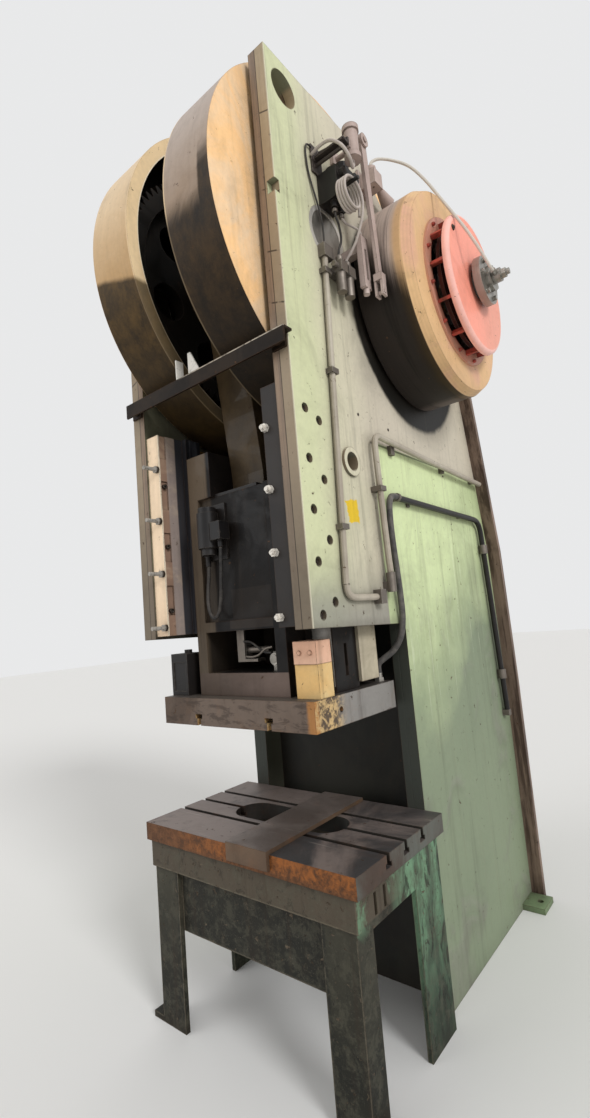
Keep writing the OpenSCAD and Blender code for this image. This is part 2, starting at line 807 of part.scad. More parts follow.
// Rod that hangs from the plate in front of the flywheel and ends in a fork
module hanger_rod() {
    x = bracket_end - 12;
    top = [bracket_y + 180, bracket_z + 100];
    foot = [bracket_y + 212, bracket_z - 520];
    color("#a99b93") in_frame() {
        difference() {
            bar_x([x - 16, x + 16], top[0], top[1], 30);
            bar_x([x - 17, x + 17], top[0], top[1], 11.5);
        }
        slab_x([x - 8, x + 8]) polygon([
            [top[0] - 22, top[1] - 20], [top[0] + 22, top[1] - 20],
            [foot[0] + 17, foot[1]], [foot[0] - 13, foot[1]]]);
        block([x - 20, x + 20], [foot[0] - 18, foot[0] + 22], [foot[1] - 34, foot[1] + 1]);
        both_fork_arms(x, foot);
        bar_x([x - 22, x + 22], foot[0] + 2, foot[1] - 84, 9);
        bar_x([frame_half_width + 17, x + 21], top[0], top[1], 11.5);
        block([frame_half_width, frame_half_width + 18], [top[0] - 30, top[0] + 30],
              [top[1] - 36, top[1] + 36]);
    }
}

module both_fork_arms(x, foot) {
    for (s = [-20, 9])
        block([x + s, x + s + 11], [foot[0] - 16, foot[0] + 20], [foot[1] - 102, foot[1] - 33]);
}

module rear_valve() {
    y = 700;
    z = 3760;
    color("#8d8480") in_frame() {
        block([frame_half_width, frame_half_width + 14], [y - 46, y + 60], [z, z + 120]);
        block([frame_half_width + 13, frame_half_width + 96], [y - 34, y + 40],
              [z + 14, z + 92]);
        bar_z(frame_half_width + 60, y + 2, [z + 91, z + 124], 26);
        bar_y(frame_half_width + 60, [y + 39, y + 66], z + 56, 15);
        translate([frame_half_width + 60, y + 64, z + 56]) rotate([-112, 0, 0])
            cylinder(h = 96, r1 = 14, r2 = 36);
    }
}

module limit_switch() {
    y = bracket_y + 182;
    x = frame_half_width + 88;
    top = 3366;
    foot = 3122;
    color("#9c8880") in_frame() difference() {
        union() {
            block([frame_half_width, x + 1], [y - 18, y + 22], [top - 70, top - 34]);
            block([x, x + 26], [y - 28, y + 28], [foot, top]);
            bar_z(x + 13, y, [foot - 26, foot + 1], 14);
        }
        block([x + 10, x + 27], [y - 5, y + 9], [foot + 40, top - 60]);
    }
}

// Filter, regulator and oiler in the air line
module air_filter() {
    x = frame_half_width + 56;
    top = 3206;
    color("#77736d") in_frame() {
        block([frame_half_width, x], [322, 372], [top - 40, top - 8]);
        for (y = [332, 392]) {
            block([x - 24, x + 24], [y - 25, y + 25], [top - 46, top]);
            bar_z(x, y, [top - 132, top - 45], 22);
            bar_z(x, y, [top - 1, top + 26], 15);
        }
        bar_y(x, [356, 368], top - 22, 12);
        bar_y(x, [282, 308], top - 22, 12);
    }
}

// Points measured out from the right side plate's face
function off_plate(p) = [for (q = p) [frame_half_width + q[0], q[1], q[2]]];

// Coil of hose on its peg, and the thin lines that hang between the valves
line_r = 5;
cable_r = 4;
function coil_point(a) = coil_centre
    + [coil_pitch * (a - 90) / 360 - 26, coil_r * sin(a), coil_r * cos(a)];
function coil_route() = concat(
    [coil_port],
    off_plate([[117, 380, 3556], [117, 380, 3520], [117, 380, 3490]]),
    [for (a = [90:20:1530]) coil_point(a)],
    off_plate([[169, 380, 3440], [155, 384, 3384], [115, 390, 3310], [77, 392, 3268],
               [56, 392, 3250], [56, 392, 3232.3]]));
function valve_line_route() = off_plate([
    [60, 328, 3459.7], [60, 328, 3451], [60, 328, 3442], [65, 324, 3414], [73, 330, 3366],
    [68, 344, 3312], [58, 336, 3272], [56, 332, 3252], [56, 332, 3242], [56, 332, 3232.3]]);
function pilot_line_route() = off_plate([
    [60, 380, 3459.7], [60, 380, 3451], [60, 380, 3443], [66, 394, 3424], [80, 420, 3413],
    [94, 446, 3404], [101, 460, 3388], [101, 460, 3377], [101, 460, 3366.3]]);
function cable_route() = off_plate([
    [9, 265.7, 3740], [9, 258, 3740], [9, 250, 3740], [8, 234, 3732], [7, 226, 3708],
    [7, 225, 3670], [7, 231, 3610], [8, 248, 3550], [11, 268, 3490], [15, 284, 3420],
    [16, 290, 3360], [16, 290, 3320], [16, 290, 3300], [16, 290, 3282.3]]);

module air_hoses() {
    color("#38342f") in_frame() {
        tube(coil_route(), coil_hose_r, [1, 0, 0.1], 8);
        tube(smooth(valve_line_route(), 4), line_r, [1, 0, 0.2], 8);
        tube(smooth(pilot_line_route(), 4), line_r, [1, 0, 0.2], 8);
        tube(smooth(cable_route(), 3), cable_r, [1, 0.1, 0], 8);
    }
}

// Air pipe from the rear valve over the flywheel to the shaft's end
union_x = shaft_end + 18;
feed_pipe_r = 7;
function feed_pipe_route() = concat(
    off_plate([
        [60, 702, 3884.3], [60, 702, 3892], [60, 702, 3900], [69, 712, 3924],
        [95, 744, 3942], [143, 800, 3938], [203, 842, 3895], [273, 842, 3778],
        [343, 822, 3630], [408, 800, 3490], [453, 808, 3390]]),
    [[union_x - 13, 862, 3300], [union_x - 1, 912, 3256], [union_x, 936, drive_z],
     [union_x, 953, drive_z]]);

module feed_pipe() {
    color("#c9c5bd") in_frame() tube(smooth(feed_pipe_route(), 4), feed_pipe_r, [0, 1, 0.3], 8);
}

module rotary_union() {
    x = shaft_end + seat_gap;
    color("#8a8783") in_frame() {
        bar_x([x, x + 36], drive_y, drive_z, 32);
        hex_x([x + 35, x + 58], drive_y, drive_z, 25);
        bar_x([x + 57, x + 74], drive_y, drive_z, 14);
        bar_y(union_x, [953.3, drive_y - 20], drive_z, 12);
    }
}

// Slide's air hose and the fitting at its foot
hose_top = [frame_half_width + 34, 672, 2232];
hose_foot = [383, 600, 1450];
module hose_foot_fitting() {
    color("#c4c0b8") in_frame() {
        hex_z(hose_foot, [flange_top, flange_top + 16], 22);
        bar_z(hose_foot[0], hose_foot[1], [flange_top + 15, hose_foot[2]], 15);
    }
}

module hex_z(p, z, r) {
    translate([p[0], p[1], z[0]]) cylinder(h = z[1] - z[0], r = r, $fn = 6);
}

function hose_route() = [
    [531, 659.7, 2232], [531, 648, 2232], [531, 636, 2232], [532, 606, 2225],
    [534, 582, 2190],
    [532, 578, 2120], [530, 584, 2020], [528, 598, 1900], [524, 614, 1780],
    [516, 626, 1680], [492, 634, 1600], [452, 630, 1544], [412, 612, 1512],
    [389, 602, 1494], [383, 600, 1478], [383, 600, 1464], [383, 600, 1450.4]];

module slide_hose() {
    color("#6f7071") in_frame() tube(smooth(hose_route(), 4), hose_r, [1, 0, 0.3]);
}

// Slide, with a gear case for the height adjustment standing on its left side
tower_top = slide_top + 212;
tower_back = slide_front + 170;
module slide_body() {
    color("#5b4a38") in_frame() difference() {
        union() {
            block([-slide_half_width, slide_half_width], [slide_front, slide_back],
                  [flange_top, slide_top]);
            both_sides() block([slide_half_width - 1, wing_x],
                               [wing_front + liner_thickness, wing_front + wing_depth],
                               [flange_top, slide_top - 10]);
            block([-slide_half_width, -conrod_half_width - 18], [slide_front, tower_back],
                  [slide_top - 1, tower_top]);
        }
        block([-cavity_half, cavity_half], [cavity_front, cavity_back],
              [shelf_height, slide_top - 40]);
        block([-conrod_half_width - 16, conrod_half_width + 16], [cavity_front, cavity_back - 40],
              [slide_top - 41, slide_top + 1]);
        block([-cavity_half, cavity_half], [slide_front - 1, cavity_front - 35],
              [window_roof + 45, slide_top + 1]);
        block([-cavity_half, cavity_half], [slide_front - 1, slide_back - 60],
              [window_floor, window_roof]);
        both_sides() block([wing_x - 60, wing_x + 1], [wing_front + 80, wing_front + 100],
                           [flange_top + 60, flange_top + 190]);
    }
}

module slide_flange() {
    slot_x = 205;
    color("#6a5c4b") in_frame() difference() {
        block([-flange_half_width, flange_half_width], [flange_front, flange_back],
              [slide_bottom, flange_top]);
        both_sides() {
            block([slot_x - 11, slot_x + 11], [flange_front - 1, flange_back + 1],
                  [slide_bottom - 1, slide_bottom + 30]);
            block([slot_x - 21, slot_x + 21], [flange_front - 1, flange_back + 1],
                  [slide_bottom + 29, slide_bottom + 48]);
            bar_x([flange_half_width - 60, flange_half_width + 1], flange_front + 168,
                  slide_bottom + 62, 11);
        }
    }
}

module slide_liners() {
    color("#8c8a84") in_frame() both_sides()
        block([nose_x + 4, wing_x - 4], [wing_front, wing_front + liner_thickness],
              [flange_top + 26, slide_top - 30]);
}

// Block in the slide that takes the ball, long enough for the open joint
module ball_seat() {
    pocket = ball_r + eccentric_throw + 8;
    color("#7d7b76") in_frame() difference() {
        block([-ball_r - 55, ball_r + 55],
              [cavity_front + 4, cavity_back - 4], [shelf_height, ball_height - 20]);
        block([-ball_r - 14, ball_r + 14],
              [crank_setback - pocket, crank_setback + ball_r + 14],
              [ball_height - ball_r - 16, ball_height]);
    }
}

// Rim around the slot in the slide's top, open where the gear case stands
module slide_top_ring() {
    color("#2f2a26") in_frame() difference() {
        block([-conrod_half_width - 50, conrod_half_width + 50],
              [cavity_front - 32, cavity_back - 5], [slide_top, slide_top + 14]);
        block([-conrod_half_width - 15, conrod_half_width + 15], [cavity_front, cavity_back - 41],
              [slide_top - 1, slide_top + 15]);
        block([-conrod_half_width - 51, -conrod_half_width - 14],
              [slide_front - 1, tower_back + seat_gap], [slide_top - 1, slide_top + 15]);
    }
}

// Stop block and its cap on the right, oil box on the left
stop_x = [318, 430];
stop_y = [96, 186];
stop_height = 130;
cap_height = 88;
module stop_block() {
    color("#d09a45") in_frame()
        block(stop_x, stop_y, [flange_top, flange_top + stop_height]);
}

module stop_cap() {
    color("#d68f72") in_frame() {
        block(stop_x, [stop_y[0] - 4, stop_y[1]],
              [flange_top + stop_height, flange_top + stop_height + cap_height]);
        for (x = [stop_x[0] + 30, stop_x[1] - 30])
            bar_y(x, [stop_y[0] - 10, stop_y[0] - 3], flange_top + stop_height + 44, 9);
    }
}

module oil_box() {
    color("#1f1e1e") in_frame() difference() {
        union() {
            block([-stop_x[1], -stop_x[0]], [stop_y[0] - 4, stop_y[1] + 14],
                  [flange_top, flange_top + 190]);
            bar_z(-stop_x[0] - 50, stop_y[0] + 50, [flange_top + 189, flange_top + 206], 18);
        }
        block([-stop_x[1] + 14, -stop_x[0] - 14], [stop_y[0] - 5, stop_y[0]],
              [flange_top + 20, flange_top + 150]);
    }
}

module window_bracket() {
    color("#8b8b87") in_frame() {
        block([-78, -34], [cavity_front + 10, cavity_front + 20], [window_floor + 40, window_roof]);
        block([-78, 40], [cavity_front + 10, cavity_front + 60],
              [window_floor + 40, window_floor + 52]);
        bar_x([-34, 90], cavity_front + 40, window_floor + 90, 14);
        block([-79, -33], [cavity_front + 19, cavity_front + 60],
              [window_floor + 60, window_floor + 120]);
    }
}

module height_dial() {
    x = cavity_half - 52;
    color("#a8a6a0") in_frame() {
        bar_y(x, [cavity_front - 8, cavity_front + 20], window_floor + 50, 26);
        block([x - 30, x + 30], [cavity_front + 19, cavity_front + 90],
              [window_floor, window_floor + 80]);
        bar_y(x, [cavity_front - 14, cavity_front - 7], window_floor + 50, 18);
    }
}

// Motor that sets the slide's height, in the recess of the slide's front
motor_x = -118;
motor_y = 92;
module adjust_motor() {
    base = cavity_front - 35;
    color("#26221f") in_frame() {
        block([motor_x - 60, motor_x + 74], [base - 10, base], [2010, 2262]);
        bar_z(motor_x, motor_y, [2060, 2220], 47);
        bar_z(motor_x, motor_y, [2219, 2244], 40);
        bar_z(motor_x, motor_y, [2030, 2061], 34);
        block([motor_x - 30, motor_x + 30], [motor_y, base - 9], [2080, 2200]);
        block([motor_x + 44, motor_x + 104], [motor_y - 30, motor_y + 30], [2090, 2170]);
        bar_z(motor_x - 34, base - 26, [1985, 2030], 12);
        block([motor_x - 46, motor_x - 22], [base - 38, base], [2029, 2044]);
        bar_z(motor_x + 74, motor_y, [2060, 2091], 12);
    }
}

function motor_hose_route() = [
    [-152, 114, 1984.7], [-153, 112, 1940], [-157, 106, 1880], [-155, 100, 1820],
    [-140, 96, 1772], [-112, 93, 1752], [-82, 92, 1772], [-64, 92, 1830],
    [-54, 92, 1920], [-47, 92, 2000], [-44, 92, 2059.7]];

module motor_hose() {
    color("#7a6a50") in_frame() tube(smooth(motor_hose_route(), 4), 8, [0, 1, 0], 8);
}

// Connecting rod: lower half with the shank, cap, bolts, bush, screw and ball
strap_wall = 58;
rod_bush_wall = 12;
strap_bore = eccentric_r + rod_bush_wall;
strap_r = strap_bore + strap_wall;
rod_big_z = crank_height + eccentric_throw;
rod_low_z = ball_height + 160;
rod_bolt_r = 15;
lug_half = 30;
module rod_lugs() {
    for (s = [-1, 1])
        block([-conrod_half_width + 14, conrod_half_width - 14],
              [crank_setback + s * (strap_r + 4) - lug_half,
               crank_setback + s * (strap_r + 4) + lug_half], [rod_big_z - 60, rod_big_z + 60]);
}

module rod_bolt_holes(z) {
    both_sides() for (s = [-1, 1])
        bar_z(52, crank_setback + s * (strap_r + 14), z, rod_bolt_r);
}

module strap() {
    difference() {
        union() {
            bar_x([-conrod_half_width, conrod_half_width], crank_setback, rod_big_z, strap_r);
            rod_lugs();
        }
        bar_x([-conrod_half_width - 1, conrod_half_width + 1], crank_setback, rod_big_z,
              strap_bore);
        rod_bolt_holes([rod_big_z - 61, rod_big_z + 61]);
    }
}

module conrod() {
    neck_z = slide_top + 100;
    wide = conrod_half_width + 1;
    color("#6d5843") in_frame() difference() {
        union() {
            difference() {
                strap();
                block([-wide, wide], [crank_setback - 400, crank_setback + 400],
                      [rod_big_z, rod_big_z + 400]);
            }
            difference() {
                slab_x([-conrod_half_width, conrod_half_width]) polygon([
                    [crank_setback - rod_half_depth, rod_low_z],
                    [crank_setback + rod_half_depth, rod_low_z],
                    [crank_setback + rod_half_depth, neck_z],
                    [crank_setback + strap_r * 0.82, rod_big_z - strap_r * 0.55],
                    [crank_setback - strap_r * 0.82, rod_big_z - strap_r * 0.55],
                    [crank_setback - rod_half_depth, neck_z]]);
                bar_x([-wide, wide], crank_setback, rod_big_z, strap_bore + 10);
            }
        }
        bar_z(0, crank_setback, [rod_low_z - 1, rod_low_z + 280], screw_r);
        block([-wide, wide], [crank_setback - 4, crank_setback + 4],
              [rod_low_z - 1, rod_low_z + 120]);
    }
}

module conrod_cap() {
    wide = conrod_half_width + 1;
    color("#66543f") in_frame() difference() {
        strap();
        block([-wide, wide], [crank_setback - 400, crank_setback + 400],
              [rod_big_z - 400, rod_big_z]);
    }
}

module rod_bolts() {
    color("#57534d") in_frame() {
        rod_bolt_holes([rod_big_z - 60, rod_big_z + 60]);
        both_sides() for (s = [-1, 1]) for (z = [rod_big_z - 78, rod_big_z + 60])
            hex_z([52, crank_setback + s * (strap_r + 14), 0], [z, z + 18], rod_bolt_r + 9);
    }
}

module rod_bush() {
    color("#a5793e") in_frame() difference() {
        bar_x([-conrod_half_width, conrod_half_width], crank_setback, rod_big_z, strap_bore);
        bar_x([-conrod_half_width - 1, conrod_half_width + 1], crank_setback, rod_big_z,
              eccentric_r + running_gap);
    }
}

screw_r = 58;
module adjusting_screw() {
    color("#8f8d88") in_frame() {
        bar_z(0, crank_setback, [ball_height, ball_height + 400], screw_r);
        translate([0, crank_setback, ball_height]) sphere(r = ball_r);
        translate([0, crank_setback, rod_low_z - 42]) cylinder(h = 42, r = 82, $fn = 8);
    }
}

// Crank
module eccentric_shaft() {
    color("#77736c") in_frame() {
        bar_x([3 - frame_half_width, frame_half_width - 3], crank_setback, crank_height,
              journal_r);
        bar_x([9 - plate_in, plate_in - 9], crank_setback, crank_height, journal_r + 4);
        bar_x([-conrod_half_width - 6, conrod_half_width + 6], crank_setback,
              crank_height + eccentric_throw, eccentric_r);
        both_sides() bar_x([conrod_half_width + 5, conrod_half_width + 17], crank_setback,
                           crank_height, journal_r + 24);
    }
}

bull_hub_r = journal_r + 70;
bull_hole_circle = 320;
bull_hole_r = 88;
module bull_gear() {
    x0 = gear_centre_x - gear_face / 2;
    x1 = gear_centre_x + gear_face / 2;
    difference() {
        union() {
            translate([0, crank_setback, crank_height]) slab_x([x0, x1])
                polygon(gear_outline(bull_teeth, -drive_drop));
            bar_x([conrod_half_width + 18, guard_outer_x - guard_sheet - 6], crank_setback,
                  crank_height, bull_hub_r);
            bar_x([guard_outer_x - guard_sheet - 7, plate_in - 10], crank_setback,
                  crank_height, journal_r + 26);
        }
        for (side = [[x0 - 1, gear_centre_x - 32], [gear_centre_x + 32, x1 + 1]])
            difference() {
                bar_x(side, crank_setback, crank_height, bull_pitch_r - 78);
                bar_x([side[0] - 1, side[1] + 1], crank_setback, crank_height, bull_hub_r);
            }
        for (i = [0:5])
            bar_x([x0, x1], crank_setback + bull_hole_circle * cos(60 * i + 20),
                  crank_height + bull_hole_circle * sin(60 * i + 20), bull_hole_r);
        bar_x([0, plate_in], crank_setback, crank_height, journal_r + 4 + running_gap);
    }
}

module bull_gears() {
    color("#5d5a52") in_frame() both_sides() bull_gear();
}

// Drive shaft, its two pinions, the clutch's friction disc and the end plate
module drive_shaft() {
    collar_r = drive_shaft_r + 18;
    color("#7c7a74") in_frame() {
        bar_x([-frame_half_width - 30, hub_x + 20], drive_y, drive_z, drive_shaft_r);
        bar_x([frame_half_width + 3, flywheel_x + 5], drive_y, drive_z, collar_r);
        bar_x([-frame_half_width - 20, -frame_half_width - 3], drive_y, drive_z, collar_r);
    }
}

module pinion() {
    x0 = gear_centre_x - gear_face / 2;
    hub_r = drive_shaft_r + 22;
    difference() {
        union() {
            translate([0, drive_y, drive_z]) slab_x([x0 + 2, x0 + gear_face - 2])
                polygon(gear_outline(pinion_teeth, 180 - drive_drop + 180 / pinion_teeth));
            bar_x([x0 + gear_face - 3, plate_in - 9], drive_y, drive_z, hub_r);
        }
        bar_x([x0, plate_in], drive_y, drive_z, drive_shaft_r);
    }
}

module pinions() {
    color("#6f6c62") in_frame() both_sides() pinion();
}

module friction_disc() {
    disc_x = flywheel_end + 24;
    color("#4a2622") in_frame() difference() {
        union() {
            bar_x([disc_x, disc_x + 18], drive_y, drive_z, clutch_r - 50);
            bar_x([disc_x - 20, disc_x + 36], drive_y, drive_z, drive_shaft_r + 40);
        }
        bar_x([disc_x - 21, disc_x + 37], drive_y, drive_z, drive_shaft_r);
    }
}

module hub_plate() {
    bolt_circle = hub_plate_r - 26;
    color("#96938d") in_frame() {
        difference() {
            union() {
                bar_x([hub_x, hub_x + hub_plate_thickness - 24], drive_y, drive_z, hub_plate_r);
                bar_x([hub_x + hub_plate_thickness - 25, shaft_end], drive_y, drive_z, 60);
            }
            bar_x([hub_x - 1, hub_x + 20], drive_y, drive_z, drive_shaft_r);
        }
        for (i = [0:5])
            hex_x([hub_x + hub_plate_thickness - 25, hub_x + hub_plate_thickness - 10],
                  drive_y + bolt_circle * cos(60 * i), drive_z + bolt_circle * sin(60 * i), 13);
    }
}

// Flywheel with its rim, web, hub and bronze bush bore
bush_out = drive_shaft_r + 16;
module flywheel_bush() {
    color("#b08a4a") in_frame() difference() {
        bar_x([flywheel_x + 6, flywheel_end - 60], drive_y, drive_z, bush_out);
        bar_x([flywheel_x + 5, flywheel_end - 59], drive_y, drive_z,
              drive_shaft_r + running_gap);
    }
}

module flywheel() {
    chamfer = 22;
    color("#a58247") in_frame() difference() {
        turned_x(drive_y, drive_z) polygon([
            [bush_out, flywheel_x + 6], [130, flywheel_x + 6],
            [130, flywheel_x + 90], [rim_inner_r, flywheel_x + 90],
            [rim_inner_r, flywheel_x], [flywheel_r - 6, flywheel_x], [flywheel_r, flywheel_x + 6],
            [flywheel_r, flywheel_end - chamfer * 2], [flywheel_r - chamfer, flywheel_end],
            [rim_inner_r, flywheel_end], [rim_inner_r, flywheel_x + 150],
            [130, flywheel_x + 150], [130, flywheel_end - 60],
            [bush_out, flywheel_end - 60]]);
        for (i = [0:5])
            bar_x([flywheel_x, flywheel_end], drive_y + 240 * cos(60 * i + 10),
                  drive_z + 240 * sin(60 * i + 10), 62);
    }
}

// Clutch housing: a ring on the rim, ribs, and the round cover
module clutch() {
    ring_out = rim_inner_r - 1;
    ring_in = clutch_r - 34;
    cover_t = 30;
    color("#d0655a") in_frame() {
        difference() {
            bar_x([flywheel_end - 34, flywheel_end + 10], drive_y, drive_z, ring_out + 1);
            bar_x([flywheel_end - 35, flywheel_end + 11], drive_y, drive_z, ring_in);
        }
        for (i = [0:11])
            translate([0, drive_y, drive_z]) rotate([30 * i, 0, 0])
                block([flywheel_end + 9, clutch_end - cover_t + 1], [-8, 8],
                      [ring_in + 2, clutch_r - 8]);
        turned_x(drive_y, drive_z) polygon(concat(
            [[drive_shaft_r + 12, clutch_end - cover_t], [clutch_r, clutch_end - cover_t]],
            [for (a = [0:15:90]) [clutch_r - 22 + 22 * cos(a), clutch_end - 22 + 22 * sin(a)]],
            [[drive_shaft_r + 12, clutch_end]]));
    }
}

side_plate_right();
side_plate_left();
back_plate();
cross_plates();
column_feet();
table_base();
table_slab();
loose_bar();
front_crossbar();
gear_guard_right();
gear_guard_left();
bearing_bushes();
front_gib_right();
front_gib_left();
rear_gibs();
side_liners();
gib_screws();
gib_studs();
front_conduit();
side_pipe();
air_pipe();
pipe_fittings();
valve_bracket();
valve_block();
air_cylinder();
hanger_rod();
rear_valve();
limit_switch();
air_filter();
air_hoses();
feed_pipe();
rotary_union();
slide_hose();
slide_body();
slide_flange();
slide_liners();
ball_seat();
slide_top_ring();
stop_block();
stop_cap();
oil_box();
window_bracket();
height_dial();
adjust_motor();
motor_hose();
hose_foot_fitting();
conrod();
conrod_cap();
rod_bolts();
rod_bush();
adjusting_screw();
eccentric_shaft();
bull_gears();
drive_shaft();
pinions();
friction_disc();
hub_plate();
flywheel();
flywheel_bush();
clutch();
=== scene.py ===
"""Looks of the stamping press: finishes, small fittings, hoses, light and camera."""

import logging
import math
from dataclasses import dataclass, field
from enum import Enum
from typing import Optional, Sequence, Union

import bmesh
import bpy
from mathutils import Matrix, Vector


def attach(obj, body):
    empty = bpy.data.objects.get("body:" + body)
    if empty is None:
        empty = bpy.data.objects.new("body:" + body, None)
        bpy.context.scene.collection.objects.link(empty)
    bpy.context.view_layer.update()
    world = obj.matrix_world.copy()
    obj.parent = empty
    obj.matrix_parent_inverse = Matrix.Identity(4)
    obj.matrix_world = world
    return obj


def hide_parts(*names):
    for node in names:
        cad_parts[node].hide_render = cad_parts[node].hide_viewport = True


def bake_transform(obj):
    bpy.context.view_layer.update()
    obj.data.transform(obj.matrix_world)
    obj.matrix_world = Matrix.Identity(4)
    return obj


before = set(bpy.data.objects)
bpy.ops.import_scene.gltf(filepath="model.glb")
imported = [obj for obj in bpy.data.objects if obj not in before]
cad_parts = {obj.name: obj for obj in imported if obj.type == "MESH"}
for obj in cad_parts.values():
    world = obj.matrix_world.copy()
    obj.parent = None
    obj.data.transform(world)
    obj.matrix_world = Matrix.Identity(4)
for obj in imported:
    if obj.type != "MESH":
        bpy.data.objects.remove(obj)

log = logging.getLogger("press")

Triple = tuple[float, float, float]


def srgb(red: int, green: int, blue: int) -> Triple:
    """Turns a display colour, 0 to 255, into the linear colour a shader takes.

    Args:
        red: Red, 0 to 255.
        green: Green, 0 to 255.
        blue: Blue, 0 to 255.

    Returns:
        The linear colour.
    """
    def one(value: int) -> float:
        """Converts one channel."""
        share = value / 255
        return share / 12.92 if share <= 0.04045 else ((share + 0.055) / 1.055) ** 2.4

    return one(red), one(green), one(blue)


@dataclass(frozen=True)
class Datum:
    """Places on the press that several parts share, in metres.

    The drawing's zero is the front face of the side plates. The frame's zero is midway
    between the foundation bolts, so a drawing's Y is shifted by `front` to get there.
    """

    front: float = -0.930
    plate_in: float = 0.414
    plate_out: float = 0.497
    drive_y: float = 1.01558
    drive_z: float = 3.25088
    guard_y: float = 0.572
    guard_z: float = 3.435
    guard_r: float = 0.821
    guard_gap: float = 0.125
    guard_outer: float = 0.388
    lip_r: float = 0.763
    clutch_ring: float = 0.803
    clutch_end: float = 0.897
    window_floor: float = 1.511
    slide_front: float = 0.120
    slab_half: float = 0.575
    slab_front: float = 0.010

    def at(self, x: float, y: float, z: float) -> Vector:
        """Turns a point of the drawing into the frame's own coordinates.

        Args:
            x: Distance right of the centre plane.
            y: Distance behind the side plates' front.
            z: Height above the floor.

        Returns:
            The point in the frame.
        """
        return Vector((x, y + self.front, z))


DATUM = Datum()


class Way(Enum):
    """Directions that a face can look in."""

    FRONT = (0, -1, 0)
    BACK = (0, 1, 0)
    LEFT = (-1, 0, 0)
    RIGHT = (1, 0, 0)
    UP = (0, 0, 1)
    DOWN = (0, 0, -1)


class Socket:
    """One output of a shader node, with arithmetic that adds Math nodes."""

    def __init__(self, nodes: "Nodes", output: bpy.types.NodeSocket) -> None:
        """Keeps the node tree and the output it stands for."""
        self.nodes = nodes
        self.output = output

    def math(self, operation: str, *others: "Value", swap: bool = False) -> "Socket":
        """Adds one Math node.

        Args:
            operation: The Math node's operation.
            others: The other operands.
            swap: True if this socket is the second operand.

        Returns:
            The node's result.
        """
        operands = [*others, self] if swap else [self, *others]
        return self.nodes.node(
            "ShaderNodeMath", {"operation": operation}, dict(enumerate(operands)))

    def __add__(self, other: "Value") -> "Socket":
        """Adds."""
        return self.math("ADD", other)

    __radd__ = __add__

    def __sub__(self, other: "Value") -> "Socket":
        """Subtracts."""
        return self.math("SUBTRACT", other)

    def __rsub__(self, other: "Value") -> "Socket":
        """Subtracts this from a number."""
        return self.math("SUBTRACT", other, swap=True)

    def __mul__(self, other: "Value") -> "Socket":
        """Multiplies."""
        return self.math("MULTIPLY", other)

    __rmul__ = __mul__

    def __pow__(self, other: "Value") -> "Socket":
        """Raises to a power."""
        return self.math("POWER", other)

    def __abs__(self) -> "Socket":
        """Takes the absolute value."""
        return self.math("ABSOLUTE")

    def most(self, other: "Value") -> "Socket":
        """Takes the larger of two values."""
        return self.math("MAXIMUM", other)

    def least(self, other: "Value") -> "Socket":
        """Takes the smaller of two values."""
        return self.math("MINIMUM", other)


Value = Union[Socket, float]
Colour = Union[Socket, Triple]


class Nodes:
    """The node tree of a material or of the world."""

    def __init__(self, owner: Union[bpy.types.Material, bpy.types.World]) -> None:
        """Empties the owner's node tree.

        Args:
            owner: The material or the world.
        """
        owner.use_nodes = True
        self.tree = owner.node_tree
        self.tree.nodes.clear()

    def node(
        self,
        kind: str,
        settings: Optional[dict] = None,
        values: Optional[dict] = None,
        output: Union[int, str] = 0,
    ) -> Socket:
        """Adds a node of any type.

        Args:
            kind: The node's type.
            settings: Properties that are set first.
            values: Values or links of its sockets, by name or number.
            output: The output that is wanted.

        Returns:
            That output.
        """
        made = self.tree.nodes.new(kind)
        for key, value in (settings or {}).items():
            setattr(made, key, value)
        for key, value in (values or {}).items():
            if isinstance(value, Socket):
                self.tree.links.new(value.output, made.inputs[key])
            elif isinstance(value, tuple) and made.inputs[key].type == "RGBA":
                made.inputs[key].default_value = (*value, 1)
            else:
                made.inputs[key].default_value = value
        return Socket(self, made.outputs[output])

    def end(self, kind: str, shader: Socket) -> None:
        """Adds the output node.

        Args:
            kind: The output node's type.
            shader: The shader that it shows.
        """
        last = self.tree.nodes.new(kind)
        self.tree.links.new(shader.output, last.inputs["Surface"])


